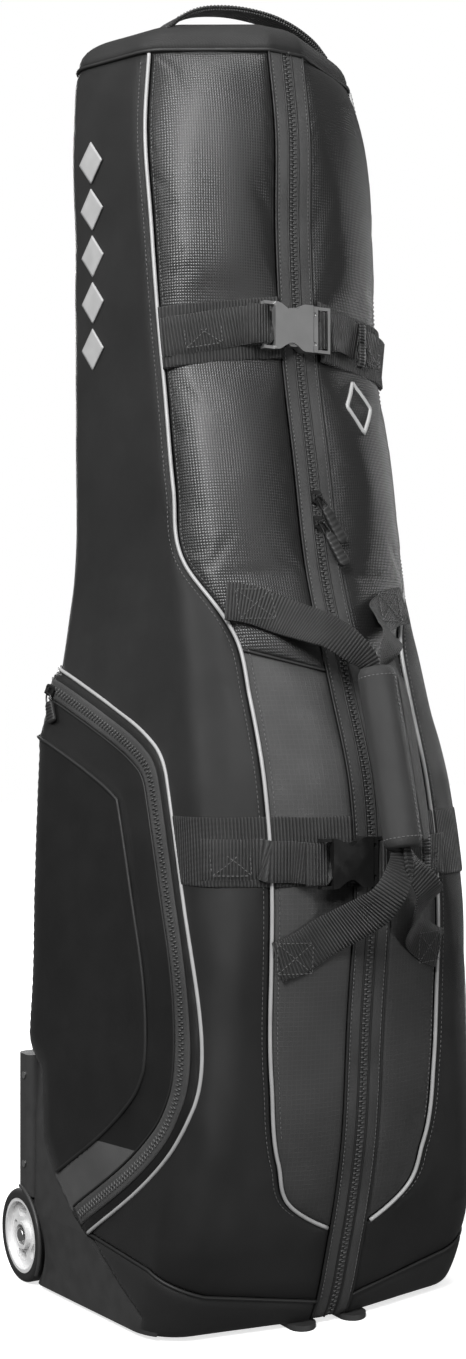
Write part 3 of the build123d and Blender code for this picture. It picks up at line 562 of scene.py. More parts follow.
GLOSSY = moulded("glossy_black_plastic", 0.012, 0.16, 600, 0.05)
GREY_METAL = moulded("satin_grey_buckle", 0.4, 0.3, 900, 0.06, metallic=0.75, wear=0.05)
BLACK_METAL = moulded("black_nickel", 0.06, 0.28, 500, 0.05, metallic=0.8)
RUBBER = moulded("soft_rubber", 0.016, 0.55, 700, 0.3)
LEATHERY = woven("wrap_cover", 0.034, 0.5, 1.3, depth=0.5)
STEEL = moulded("zinc_steel", 0.5, 0.3, 500, 0.05, metallic=1.0)
SILVER = moulded("silver_hub", 0.8, 0.3, 900, 0.04, metallic=0.1, wear=0.03)
TYRE = moulded("tyre_rubber", 0.018, 0.6, 500, 0.35)
THREAD = moulded("sewing_thread", 0.11, 0.5, 900, 0.1)


def dress(material, *nodes):
    """Give CAD nodes that stay visible their own material."""
    for node in nodes:
        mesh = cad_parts[node].data
        mesh.materials.clear()
        mesh.materials.append(material)


def constant(value):
    return lambda at: np.full(np.shape(at), float(value))


# -------------------------------------------------------------- sewn panels
HOUSING = np.array([(-60, 6), (47, 78), (70, 92), (89, 112), (109, 137), (123, 160), (133, 226), (143, 236),
                    (190, 236), (190, -20), (-60, -20)], float)
POCKET_LINE = np.array([(150, 631), (123, 622), (39, 587), (-3, 568), (-37, 545), (-53, 505), (-76, 433),
                        (-101, 345), (-110, 250), (-91, 198), (-62, 163), (-20, 125), (47, 78)], float)


def softened(line, rounds=3):
    """Corner-cutting of an open line, ends kept."""
    for _ in range(rounds):
        a, b = line[:-1], line[1:]
        cut = np.empty((2 * len(a), 2))
        cut[0::2] = a * 0.75 + b * 0.25
        cut[1::2] = a * 0.25 + b * 0.75
        line = np.concatenate([line[:1], cut, line[-1:]])
    return line


def respaced(line, step):
    """The same line with points at an even spacing."""
    run = run_along(line)
    at = np.linspace(0, run[-1], max(2, int(run[-1] / step) + 1))
    return np.column_stack([np.interp(at, run, line[:, k]) for k in range(line.shape[1])])


POCKET_EDGE = respaced(softened(POCKET_LINE), 4)
POCKET_ROOM = np.concatenate([POCKET_EDGE, HOUSING[2:8], [(150, 238)]])


def depth_to_line(line, y, z):
    """Distance from an open line."""
    y, z = np.broadcast_arrays(np.asarray(y, float), np.asarray(z, float))
    best = np.full(y.shape, 1e9)
    for (y0, z0), (y1, z1) in zip(line, line[1:]):
        dy, dz = y1 - y0, z1 - z0
        t = np.clip(((y - y0) * dy + (z - z0) * dz) / (dy * dy + dz * dz), 0, 1)
        best = np.minimum(best, np.hypot(y - y0 - t * dy, z - z0 - t * dz))
    return best


def depth_inside(polygon, y, z):
    """Distance inside (positive) or outside (negative) of a closed outline."""
    y, z = np.broadcast_arrays(np.asarray(y, float), np.asarray(z, float))
    inside = np.zeros(y.shape, bool)
    closed = np.concatenate([polygon, polygon[:1]])
    for (y0, z0), (y1, z1) in zip(closed, closed[1:]):
        inside ^= ((z0 > z) != (z1 > z)) & (y < (z - z0) / ((z1 - z0) or 1e-9) * (y1 - y0) + y0)
    best = depth_to_line(closed, y, z)
    return np.where(inside, best, -best)


def housing_depth(y, z):
    return depth_inside(HOUSING, y, z)


def under_housing(s, z):
    """Cloth tucks in where the wheel housing or the pocket covers it."""
    y = flat_point(np.abs(s), z)[..., 1]
    wheel = np.where(np.abs(s) > 200, np.clip(housing_depth(y, z) / 5 + 1, 0, 1), 0)
    pocket = np.clip((depth_inside(POCKET_ROOM, y, z) - 4) / 8, 0, 1)
    return -9 * np.maximum(wheel, np.where(np.abs(s) > 200, pocket, 0))


BELT_HEIGHT = 957


def pad_crown(s, z):
    """The pad's crown: full towards the piping, pulled in under the belt and at the waist."""
    share = np.clip((s_piping(z) - s) / (s_piping(z) - TAPE_EDGE), 0, 1)
    crown = np.where(share < 0.5, 1 - (1 - share / 0.5) ** 2, np.cos((share - 0.5) * math.pi) ** 1.5)
    belt = np.exp(-(((z - BELT_HEIGHT + 4) / 58) ** 4))
    waist = np.clip((z - 716) / 90, 0, 1)
    return 6.0 * crown * waist * (1 - belt) - 3.6 * np.exp(-(((z - BELT_HEIGHT) / 34) ** 2))


def inflate(piece, outer_count, held, pressure=4.0, cap=4.0):
    """Cloth simulation of a sewn panel: its lining and edges stay sewn, pressure fills its face."""
    mesh = piece.data
    rest = np.zeros(len(mesh.vertices) * 3)
    mesh.vertices.foreach_get("co", rest)
    rest = rest.reshape(-1, 3)
    boundary = np.zeros(len(rest), bool)
    boundary[outer_count:] = True
    for polygon in mesh.polygons:
        if any(i >= outer_count for i in polygon.vertices):
            boundary[list(polygon.vertices)] = True
    boundary |= held(rest[:, 2] / MM)
    group = piece.vertex_groups.new(name="sewn")
    group.add([int(i) for i in np.flatnonzero(boundary)], 1.0, "REPLACE")
    cloth = piece.modifiers.new("cloth", "CLOTH")
    cloth.settings.quality = 4
    cloth.settings.mass = 0.3
    cloth.settings.vertex_group_mass = "sewn"
    cloth.settings.use_pressure = True
    cloth.settings.uniform_pressure_force = pressure
    cloth.settings.shrink_min = -0.002
    cloth.settings.effector_weights.gravity = 0
    cloth.collision_settings.use_self_collision = False
    for step in range(1, 21):
        bpy.context.scene.frame_set(step)
    filled = piece.evaluated_get(bpy.context.evaluated_depsgraph_get()).data
    now = np.zeros(len(filled.vertices) * 3)
    filled.vertices.foreach_get("co", now)
    move = now.reshape(-1, 3) - rest
    piece.modifiers.remove(cloth)
    piece.vertex_groups.remove(group)
    bpy.context.scene.frame_set(1)
    size = np.linalg.norm(move, axis=1, keepdims=True)
    limit = cap * MM
    move *= np.where(size > 1e-9, limit * np.tanh(size / limit) / np.maximum(size, 1e-9), 0)
    mesh.vertices.foreach_set("co", (rest + move).ravel())
    mesh.update()
    print("inflated", piece.name, "by at most", round(float(size.max() / MM), 2), "mm")


def boot_seam(s):
    """Height of the seam between the boot and the panels, rising towards the back."""
    return np.interp(np.abs(s), [20, 140, 200, 300, 480], [27, 49, 70, 80, 84])


def build_shell():
    tape = constant(TAPE_EDGE)
    piping_in = lambda z: s_piping(z) - 1.5
    piping_out = lambda z: np.where(z > 104, s_piping(z) + 1.5, TAPE_EDGE)
    pad_low = lambda u: 626 + 20 * u

    cells = (48, 150)
    pad = panel("right_pad", tape, piping_in, pad_low, constant(TOP - 1), cells, 9.0, PAD,
                edge=56, rumple=0.8, extra=pad_crown)
    inflate(pad, cells[0] * cells[1], lambda z: (np.abs(z - BELT_HEIGHT + 4) < 48) | (z < 716))
    label(pad, "pad_fabric", "right_upper_pad")
    mirror(pad, "pad_fabric", "left_upper_pad")

    front = panel("right_front", tape, lambda z: np.maximum(s_piping(z) - 1.5, TAPE_EDGE + 1), constant(104),
                  lambda u: 624 + 20 * u, (44, 200), 5.0, FRONT, edge=40, rumple=1.2)
    label(front, "ripstop_fabric", "right_front_panel")
    mirror(front, "ripstop_fabric", "left_front_panel")

    side_low = lambda u: boot_seam(TAPE_EDGE + (s_back(80) - TAPE_EDGE) * u) + 0.5
    side = panel("right_side", piping_out, s_back, side_low, constant(TOP - 1), (100, 260), 3.0, SIDE,
                 edge=24, rumple=1.3, extra=under_housing)
    label(side, "shell_fabric", "right_side_panel")
    mirror(side, "shell_fabric", "left_side_panel")

    build_back()
    build_boot()
    build_cap()


def back_sheet(name, node, z_low, z_high, puff, material, cells):
    """A panel across the back, between the two back seams."""
    u, v = np.meshgrid(spread(cells[0], 0.4), spread(cells[1], 0.4), indexing="ij")
    z = z_low + (z_high - z_low) * v
    half = length_at(z) - s_back(z) - 1.0
    w = half * (2 * u - 1)
    rise = ease(np.minimum(u, 1 - u) * 2 * half, 14) * ease(np.minimum(v, 1 - v) * (z_high - z_low), 12)
    point, normal = surface(np.maximum(length_at(z) - np.abs(w), 1), z)
    sign = np.where(w > 0, -1.0, 1.0)
    point[..., 0] *= sign
    normal[..., 0] *= sign
    normal = np.where((np.abs(w) < 60)[..., None], np.array([0, 1.0, 0]), normal)
    point[..., 0] = np.where(np.abs(w) < 2, -w, point[..., 0])
    lift = -1.2 + rise * (puff + 1.2) + crease(point, 70, 0.7) * rise
    wheel = housing_depth(point[..., 1], z)
    lift = np.where(np.abs(point[..., 0]) > 150, lift - 6 * np.clip(wheel / 5 + 1, 0, 1), lift)
    point = point + normal * lift[..., None]
    piece = solid_grid(name, point, normal, np.full(u.shape, 4.0), np.stack([w, z], -1), material)
    label(piece, "shell_fabric", node, "case")


def build_back():
    back_sheet("back", "back_panel", 84, TOP - 1, 3.0, SHELL, (70, 200))
    back_sheet("back_boot", None, 6, 83, 2.0, SHELL, (50, 20))
    for x in (-75, 75):
        z = np.arange(96.0, TOP - 14, 6)
        path = np.stack([np.full(z.shape, float(x)), np.full(z.shape, 168.6), z], -1)
        tube(f"back_welt_{'left' if x < 0 else 'right'}", path, 1.3, WELT, 8, (0, 1, 0.01))


def build_boot():
    """The wrap round the foot of the case, from the zip round to the wheel housing."""
    end = constant(430)
    high = lambda u: boot_seam(TAPE_EDGE + u * (430 - TAPE_EDGE)) - 0.5
    boot = panel("right_boot", constant(TAPE_EDGE), end, constant(5), high, (80, 26), 2.5, SHELL, edge=10,
                 rumple=0.6, extra=under_housing)
    label(boot, "shell_fabric", "base_boot")
    mirror(boot, "shell_fabric")
    right = GRID[1][:int(LENGTHS[1]):8]
    line = np.concatenate([right, right[::-1][:-1] * [-1, 1]])
    line = line + (np.array([0, 40]) - line) * 0.02
    n = len(line)
    points = np.concatenate([np.column_stack([line, np.full(n, h)]) for h in (7.6, 5.9)])
    faces = [tuple(range(n)), tuple(range(n, 2 * n))[::-1]]
    faces += [((i + 1) % n, i, i + n, (i + 1) % n + n) for i in range(n)]
    sole = add_mesh("base_sole", points, faces, points[:, :2], SHELL, smooth=False)
    label(sole, "shell_fabric", body="case")


FENDER_Y, FENDER_Z, FENDER_RADIUS = 177, 47, 54
FENDER_FACE = 205.4


def build_fenders():
    """A raised lip round each wheel well."""
    for side, turn in (("right", 1), ("left", -1)):
        angle = np.radians(np.linspace(98, 212, 60))
        arch = np.column_stack([np.full(60, turn * FENDER_FACE), FENDER_Y + FENDER_RADIUS * np.cos(angle),
                                FENDER_Z + FENDER_RADIUS * np.sin(angle)])
        lip = tube(f"{side}_fender_lip", arch, 2.0, PLASTIC, 10, (1, 0, 0))
        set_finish(lip, "black_plastic")


def build_cap():
    """Domed top cap, rising from its seam to a soft flat crown."""
    turns, rings = 180, 26
    half = turns // 2
    z = np.full(half, float(TOP))
    a = np.linspace(0, 1, half) * float(length_at(TOP))
    right, _ = surface(a, z)
    left = right[::-1].copy()
    left[:, 0] *= -1
    rim = np.concatenate([right, left[1:-1]])
    centre = np.array([0, 95.0, TOP])
    points, uvs = [], []
    for k in range(rings):
        t = k / (rings - 1)
        share = 1 - 0.998 * t**1.35
        rise = DOME * (1 - share**3.2) ** (1 / 2.2)
        puff = 1 + 0.02 * math.sin(math.pi * min(1, t * 3 + 0.08))
        ring = centre + (rim - centre) * share * puff
        ring[:, 2] = TOP - 2.5 + rise
        points.append(ring)
        uvs.append(ring[:, :2])
    points = np.array(points)
    points[..., 2] += crease(points, 50, 0.8) * np.linspace(0, 1, rings)[:, None]
    n = rim.shape[0]
    flat = points.reshape(-1, 3)
    faces = ring_faces(rings, n, ends=False)
    faces.append(tuple((rings - 1) * n + j for j in range(n)))
    inner = flat.copy()
    inner[:, :2] = centre[:2] + (inner[:, :2] - centre[:2]) * 0.975
    inner[:, 2] = np.maximum(inner[:, 2] - 4, TOP - 2.5)
    count = len(flat)
    faces += [tuple(i + count for i in face[::-1]) for face in faces]
    for j in range(n):
        i = (j + 1) % n
        faces.append((i, j, j + count, i + count))
    uv = np.concatenate([np.array(uvs).reshape(-1, 2)] * 2)
    cap = add_mesh("cap", np.concatenate([flat, inner]), faces, uv, SHELL)
    label(cap, "shell_fabric", "top_cap", "case")


# -------------------------------------------------------------- main zip
def build_zip():
    z = np.append(np.arange(8.0, TOP - 2, 5), TOP + 0.0)
    for sign, name in ((1, "right"), (-1, "left")):
        u, zz = np.meshgrid(np.linspace(0, 1, 12), z, indexing="ij")
        s = sign * (0.4 + (TAPE_EDGE - 1) * u)
        lift = 0.6 + 0.8 * np.sin(math.pi * u) + 1.2 * (u > 0.93) - 0.5 * np.exp(-(((zz - 728) / 18) ** 2))
        point, normal = surface(s, zz, lift)
        if sign < 0:
            point, normal, s, zz = point[::-1], normal[::-1], s[::-1], zz[::-1]
        thick = np.full(u.shape, 1.6)
        piece = solid_grid(f"zip_tape_{name}", point, normal, thick, np.stack([s, zz], -1), TAPE)
        label(piece, "zip_tape", body="case")
        if sign > 0:
            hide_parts("zipper_tapes")
        for offset, radius in ((5.6, 1.1), (TAPE_EDGE - 0.5, 1.2)):
            point, _ = surface(sign * offset, z, 1.3)
            tube(f"zip_welt_{name}_{int(offset)}", point, radius, WELT, 8)
    teeth("zip_teeth", lambda run: (run * 0, run), np.arange(12.0, TOP - 2, 2.3), 1.0, "zipper_coil")


def teeth(name, line, runs, lift, node=None, place=surface):
    """Two rows of small moulded teeth along a line on the bag."""
    points, faces = [], []
    ring = 6
    for index, run in enumerate(runs):
        side = 1 if index % 2 else -1
        s, z = line(np.array([run, run + 0.8]))
        centre, normal = place(s, z, lift)
        up = centre[1] - centre[0]
        up /= np.linalg.norm(up)
        across = np.cross(up, normal[0])
        for k, (reach, size) in enumerate(((-0.4, 0.5), (0.3, 1.0), (3.2, 1.0), (3.8, 0.45))):
            for j in range(ring):
                angle = 2 * math.pi * j / ring
                points.append(centre[0] + across * reach * side + up * math.cos(angle) * 0.85 * size
                              + normal[0] * math.sin(angle) * 1.0 * size)
        first = index * 4 * ring
        tooth = ring_faces(4, ring, first)
        faces += tooth if side > 0 else [face[::-1] for face in tooth]
    piece = add_mesh(name, points, faces, None, COIL)
    return label(piece, "zip_coil", node, "case")


def build_cords():
    """Dark cords over the cap, boot and waist seams."""
    a = np.linspace(1, float(length_at(TOP)) - 1, 120)
    right, _ = surface(a, TOP - 0.5, 1.6)
    left = right[::-1] * [-1, 1, 1]
    tube("cap_cord", np.concatenate([right, left, right[:1]]), 1.9, WELT, 8, (0, 0.02, 1))
    s = np.linspace(TAPE_EDGE, 330, 90)
    foot, _ = surface(s, boot_seam(s), 1.0)
    foot_cord = tube("right_boot_cord", foot, 1.7, WELT, 8, (0, 0.02, 1))
    s = np.linspace(TAPE_EDGE, float(s_piping(640)), 30)
    waist, _ = surface(s, 625 + 20 * (s - TAPE_EDGE) / (s[-1] - TAPE_EDGE), 0.6)
    waist_cord = tube("right_waist_cord", waist, 1.6, WELT, 8, (0, 0.02, 1))
    mirror(foot_cord)
    mirror(waist_cord)


def build_piping():
    z = np.concatenate([np.arange(104.0, 140, 2), np.arange(140.0, TOP, 4)])
    point, _ = surface(s_piping(z), z, 2.2)
    right = tube("right_piping", point, 1.9, PIPE)
    label(right, "reflective_piping", "body_piping")
    mirror(right, "reflective_piping")


# ------------------------------------------------------------ belts
def build_belts():
    for prefix, height, tall in (("upper", 960, 62), ("lower", 459, 64)):
        node = f"{prefix}_band"
        drop = 13 if height > 600 else 0
        low = lambda u, h=height, t=tall, d=drop: h - t / 2 - d * u
        high = lambda u, h=height, t=tall, d=drop: h + t / 2 - d * u
        base = 7.6 if height > 600 else 4.6
        made = [panel(f"right_{node}", constant(TAPE_EDGE + 1), lambda z: s_piping(z) - 2, low, high,
                      (40, 22), 1.2, BAND, base=base, edge=2.5, thick=1.6, rumple=0.1)]
        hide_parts(node)
        if not drop:
            to_pocket = lambda z: s_at_y(np.interp(z, [420, 500], [-72, -50]), z)
            made.append(panel("right_side_band", lambda z: s_piping(z) + 2, to_pocket, low, high, (30, 22),
                              1.2, BAND, base=3.2, edge=2.5, thick=1.6, rumple=0.1))
        for piece in made:
            mirror(label(piece, "webbing"), "webbing")


# ------------------------------------------------------------ side pockets
POCKET_PROFILE = [(0, 0.1), (3, 0.5), (8, 0.95), (14, 1.0), (28, 1.02), (34, 1.15), (60, 1.5), (68, 1.75),
                  (82, 1.6), (140, 1.45)]
POCKET_ZIP_IN = 20


def pocket_lift(y, z):
    """How far the pocket stands off the side panel: it swells towards the back."""
    x, h = np.array(POCKET_PROFILE).T
    swell = np.interp(y, [-110, 76, 150], [4.6, 7.2, 10.6])
    lift = np.interp(depth_to_line(POCKET_EDGE, y, z), x, h) * swell
    lift = lift * np.clip((153 - np.asarray(y, float)) / 7, 0.1, 1) ** 0.5
    wheel = np.clip(-housing_depth(y, z) / 22, 0.0, 1) ** 0.5
    return np.maximum(lift * (0.35 + 0.65 * wheel), 0.4)


def on_pocket(y, z, extra=0.0):
    """Point and normal on the pocket at a given y and height, plus a further lift."""
    y, z = np.asarray(y, float), np.asarray(z, float)
    return surface(s_at_y(y, z), z, pocket_lift(y, z) + extra)


def inward_of(line):
    """Unit direction to the left of a flat line at each of its points."""
    along = unit(np.gradient(line, axis=0))
    return np.column_stack([-along[:, 1], along[:, 0]])


def inset(distance):
    """The pocket's edge moved inwards, stopped at the back seam and the wheel housing."""
    line = POCKET_EDGE + inward_of(POCKET_EDGE) * distance
    tip = line[0] + (line[0] - line[2]) * 4
    line = np.concatenate([[tip], line])
    keep = (line[:, 0] < 151) & (housing_depth(line[:, 0], line[:, 1]) < -3)
    return respaced(line[keep], 3)


def build_pockets():
    edge = respaced(np.concatenate([POCKET_ROOM, POCKET_ROOM[:1]]), 3.5)[:-1]
    inner = []
    for y in np.arange(-110, 150, 4.5):
        for z in np.arange(80, 632, 4.5):
            inner.append((y + (z % 9) / 4, z))
    inner = np.array(inner)
    inner = inner[depth_inside(edge, inner[:, 0], inner[:, 1]) > 2.5]
    flat = np.concatenate([edge, inner])
    rim = [(i, (i + 1) % len(edge)) for i in range(len(edge))]
    verts, _, tris, _, _, _ = delaunay_2d_cdt([Vector(p) for p in flat], rim, [], 1, 0.01)
    flat = np.array([tuple(v) for v in verts])
    y, z = flat.T
    point, normal = on_pocket(y, z)
    point = point + normal * (crease(point, 45, 0.7))[:, None]
    inner_side = point - normal * 3.5
    count = len(flat)
    area = [(flat[b] - flat[a])[0] * (flat[c] - flat[a])[1] - (flat[b] - flat[a])[1] * (flat[c] - flat[a])[0]
            for a, b, c in tris]
    outer = [tuple(t) if k > 0 else tuple(t)[::-1] for t, k in zip(tris, area)]
    pairs = {}
    for f in outer:
        for a, b in zip(f, f[1:] + f[:1]):
            pairs[(a, b)] = True
    rim = [(b, a, a + count, b + count) for a, b in pairs if (b, a) not in pairs]
    faces = outer + [tuple(i + count for i in f[::-1]) for f in outer] + rim
    piece = add_mesh("right_pocket_face", np.concatenate([point, inner_side]), faces,
                     np.concatenate([flat, flat]), POCKET)
    piece.data.materials.append(PATCH)
    middle = np.array([flat[list(f)].mean(axis=0) for f in outer])
    depth = depth_to_line(POCKET_EDGE, middle[:, 0], middle[:, 1])
    patch = (depth > 30) & (depth < 67) & (middle[:, 1] < 176) & (middle[:, 0] < 120)
    for face, light in zip(piece.data.polygons, patch):
        face.material_index = int(light)
    label(piece, "shell_fabric", "right_pocket", "case")
    made = [piece]

    def cord(name, distance, radius, material, extra, slot=None):
        line = inset(distance)
        at, _ = on_pocket(line[:, 0], line[:, 1], extra)
        cordage = tube(name, at, radius, material, 8, (1, 0, 0.01))
        if slot:
            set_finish(cordage, slot)
        made.append(cordage)

    cord("right_pocket_piping", 1.5, 1.9, PIPE, 1.6, "reflective_piping")
    cord("right_pocket_ridge", 68, 1.8, WELT, 0.4)
    cord("right_pocket_seam", 31, 1.2, WELT, 0.3)
    line = inset(POCKET_ZIP_IN)
    u = np.linspace(-9, 9, 8)
    grid = line[None] + inward_of(line)[None] * u[:, None, None]
    keep = np.max(grid[..., 0], axis=0) < 153
    grid = grid[:, keep]
    at, normal = on_pocket(grid[..., 0], grid[..., 1], 1.0)
    run = np.arange(grid.shape[1]) * 3.0
    uv = np.stack(np.broadcast_arrays(u[:, None], run[None]), -1)
    tape = solid_grid("right_pocket_tape", at[::-1], normal[::-1], np.full(at.shape[:2], 1.4), uv[::-1], TAPE)
    label(tape, "zip_tape", body="case")
    made.append(tape)
    run = run_along(line)

    def zip_line(at_run):
        y = np.interp(at_run, run, line[:, 0])
        z = np.interp(at_run, run, line[:, 1])
        return y, z

    teeth_mesh = teeth("right_pocket_teeth", zip_line, np.arange(4, run[-1] - 6, 2.3), 1.6, "pocket_zippers",
                       place=on_pocket)
    made.append(teeth_mesh)
    for piece in made:
        mirror(piece, piece.get("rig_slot"), "left_pocket" if piece.name == "right_pocket_face" else None)


# ------------------------------------------------------------ straps
def stitches(name, path, normal, material=None, pitch=4.2, length=2.8, radius=0.38, body="case"):
    """A run of small thread dashes along a path."""
    path, normal = np.asarray(path, float), np.asarray(normal, float)
    normal = np.broadcast_to(normal, path.shape)
    run = run_along(path)
    points, faces = [], []
    for start in np.arange(1.0, run[-1] - length, pitch):
        at = np.array([start, start + length])
        ends = np.column_stack([np.interp(at, run, path[:, k]) for k in range(3)])
        out = np.array([np.interp(start, run, normal[:, k]) for k in range(3)])
        along = (ends[1] - ends[0]) / length
        side = np.cross(along, out)
        first = len(points)
        for share, size, sink in ((0, 0.4, 0.5), (0.25, 1, 0), (0.75, 1, 0), (1, 0.4, 0.5)):
            centre = ends[0] + (ends[1] - ends[0]) * share - out * sink * radius
            for k in range(5):
                angle = 2 * math.pi * k / 5
                points.append(centre + (side * math.cos(angle) + out * math.sin(angle)) * radius * size)
        faces += ring_faces(4, 5, first)
    piece = add_mesh(name, points, faces, None, material or THREAD)
    return label(piece, body=body)


def front_at(x, z, lift):
    """Point on the front at a signed x and height."""
    x, z = np.broadcast_arrays(np.asarray(x, float), np.asarray(z, float))
    s = s_at_x(np.abs(x), z) * np.sign(x)
    return surface(s, z, lift)


def box_stitch(name, x_from, x_to, z_at, half, lift):
    """A sewn box with a cross in it, on a strap lying on the front."""
    a, b = (x_from, -half), (x_to, -half)
    c, d = (x_to, half), (x_from, half)
    for index, (p, q) in enumerate(((a, b), (b, c), (c, d), (d, a), (a, c), (b, d))):
        t = np.linspace(0, 1, 12)
        x = p[0] + (q[0] - p[0]) * t
        z = z_at(x) + p[1] + (q[1] - p[1]) * t
        point, normal = front_at(x, z, lift)
        stitches(f"{name}_{index}", point, normal)


def ring_of(centre, along, tall, thick):
    """A rounded rectangle of points round a strap, in the plane across it."""
    up = np.array([0, 0, 1.0])
    out = unit(np.cross(unit(along), up))
    turn = np.linspace(0, 2 * math.pi, 49)
    c, s = np.cos(turn), np.sin(turn)
    vertical = np.sign(s) * np.abs(s) ** 0.35 * tall / 2
    depth = np.sign(c) * np.abs(c) ** 0.6 * thick / 2
    return np.asarray(centre) + up * vertical[:, None] + out * depth[:, None]


def build_straps():
    for prefix, left, mid_y, height, lie, reach, slope in (("upper", -48, -45, 960, 9.2, 122, 14),
                                                           ("lower", -64, -169, 450, 6.8, 96, 0)):
        mouth = left + 56
        body = "upper_plug" if prefix == "upper" else "lower_plug"
        level = lambda x, h=height, k=slope: h - k * np.clip((np.abs(x) - 50) / 70, 0, 1)
        x = np.linspace(-reach, left - 14, 14)
        lying, _ = front_at(x, level(x), lie + 2.5)
        if prefix == "lower":
            far = -(float(s_piping(450)) + np.array([62.0, 48, 34, 20, 8]))
            lying = np.concatenate([surface(far, 452.0, 5.6)[0], lying[1:]])
        loop = [(left - 2, mid_y + 4.6, height), (left + 6, mid_y + 3.4, height), (left + 8.4, mid_y, height),
                (left + 6, mid_y - 3.2, height), (left - 4, mid_y - 3.4, height),
                (left - 16, mid_y - 1.5, height)]
        path = np.concatenate([curve_points(np.concatenate([lying, loop[:2]]), 44), loop[2:]])
        facing = np.tile([0, -1, 0.02], (len(path), 1))
        if prefix == "lower":
            facing[:, 0] = np.interp(path[:, 0], [-150, -110], [-1.1, 0])
        piece = strap(f"{prefix}_left_strap", path, facing, WEBBING)
        label(piece, "webbing", f"{prefix}_strap")
        if prefix == "upper":
            box_stitch("upper_box_left", -reach + 14, -reach + 46, level, 14, lie + 3.8)
        else:
            box_stitch("lower_box_left", -139, -111, lambda x: 452 + 0 * x, 14, 6.9)
        x = np.linspace(mouth + 34, reach, 12)
        dip = 2.0 * np.clip((mouth + 60 - x) / 20, 0, 1) * (prefix == "lower")
        lying, _ = front_at(x, level(x), lie + 1.5 - dip)
        right = strap(f"{prefix}_right_strap", curve_points(lying, 24), (0, -1, 0.02), WEBBING)
        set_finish(right, "webbing")
        box_stitch(f"{prefix}_box_right", reach - 42, reach - 12, level, 14, lie + 2.8)
        x = np.array([mouth + 62, mouth + 48, mouth + 34])
        end, _ = front_at(x, level(x), lie + 4.6)
        loop = [(mouth + 24, mid_y + 3.4, height), (mouth + 11, mid_y + 3.2, height),
                (mouth + 8.2, mid_y, height), (mouth + 11, mid_y - 3.2, height),
                (mouth + 17, mid_y - 3.2, height)]
        tail = strap(f"{prefix}_tail", curve_points(np.concatenate([end, loop]), 30), (0, -1, 0.02), WEBBING,
                     width=37, body=body)
        label(tail, "webbing", f"{prefix}_strap_tail")
        centre, _ = front_at(np.array([mouth + 70.0]), level(np.array([mouth + 70.0])), lie + 2.6)
        span, _ = front_at(np.array([mouth + 64.0, mouth + 76.0]), np.array([height, height]), lie)
        ring = ring_of(centre[0], span[1] - span[0], 44, 8)
        keeper = strap(f"{prefix}_keeper", ring, span[1] - span[0] + 1e-3, WEBBING, width=1.6, thick=11)
        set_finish(keeper, "webbing")
        if prefix == "upper":
            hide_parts("strap_keepers")


# ------------------------------------------------------------ zip grips
TRACK_RISE = (79.5 - 36) / 215
PULL_AXIS = 6.6


def build_grips():
    """A wire bail and a ribbed rubber grip on every slider."""
    out = np.array([0, -1, TRACK_RISE]) / math.hypot(1, TRACK_RISE)
    up = np.array([0, TRACK_RISE, 1]) / math.hypot(1, TRACK_RISE)
    x = np.array([1.0, 0, 0])
    for name, z, lean, length in (("upper", 793, 24, 46), ("lower", 768, 20, 44)):
        origin = np.array([0, -79.5 + TRACK_RISE * (z - 720), z])
        grip(f"{name}_grip", origin, x, up, out, lean, length, f"{name}_tab", f"{name}_pull")
    start, end = np.array([183.15, 140, 605.6]), np.array([172.6, 76, 579.5])
    out = np.array([1, -0.213, 0.112]) / math.hypot(1, 0.213, 0.112)
    x = unit(np.cross(start - end, out))
    up = np.cross(out, x)
    for side, turn in (("right", 1), ("left", -1)):
        flip = np.array([turn, 1, 1])
        grip(f"{side}_pocket_grip", start * flip, x * flip, up * flip, out * flip, 26, 24,
             f"{side}_pocket_tab", f"{side}_pocket_pull")


def grip(name, origin, x, up, out, lean, length, body, node):
    tip = x * lean - up * length + out * (4.5 if name == "lower_grip" else 0)
    reach = np.linalg.norm(tip)
    along = tip / reach
    side = np.cross(out, along)
    pin = origin + out * PULL_AXIS
    bail = [pin + x * 2.4, pin + along * 7 + side * 3.2, pin + along * 13 + side * 3.4, pin + along * 16.5,
            pin + along * 13 - side * 3.4, pin + along * 7 - side * 3.2, pin - x * 2.4, pin + x * 2.4]
    wire = tube(f"{name}_bail", curve_points(bail, 40), 0.9, BLACK_METAL, 8, out, body)
    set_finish(wire, "black_metal")
    rings, sides = 46, 20
    t = np.linspace(0, 1, rings)[:, None]
    turn = np.linspace(0, 2 * math.pi, sides, endpoint=False)[None]
    end = np.sqrt(np.clip(1 - np.abs(2 * t - 1) ** 9, 0.02, 1))
    ribs = 1 + 0.16 * np.sin(t * 2 * math.pi * 7) * (np.abs(2 * t - 1) < 0.86)
    wide = (5.0 + 1.6 * t) * end
    deep = 2.4 * end * ribs
    c, s = np.cos(turn), np.sin(turn)
    at = (pin + along * (12.0 + t * (reach - 12.0))[..., None]
          + side * (np.sign(c) * np.abs(c) ** 0.5 * wide)[..., None]
          + out * (np.sign(s) * np.abs(s) ** 0.6 * deep)[..., None]).reshape(-1, 3)
    faces = ring_faces(rings, sides)
    if np.dot(np.cross(side, out), along) < 0:
        faces = [f[::-1] for f in faces]
    piece = add_mesh(name, at, faces, None, RUBBER)
    label(piece, "pull_rubber", node, body)


# ------------------------------------------------------------ handles
WRAP_FOOT = np.array([4, -205, 464.0])
WRAP_LENGTH = 168
WRAP_AXIS = unit(np.array([0, -166, 628.0]) - WRAP_FOOT)
WRAP_SIDE = unit(np.array([1.0, 0, 0]) - WRAP_AXIS * WRAP_AXIS[0])
WRAP_BACK = np.cross(WRAP_AXIS, WRAP_SIDE)


def on_wrap(x, y, along):
    x, y, along = np.broadcast_arrays(*(np.asarray(v, float) for v in (x, y, along)))
    return (WRAP_FOOT + WRAP_SIDE * x[..., None] + WRAP_BACK * y[..., None] + WRAP_AXIS * along[..., None])


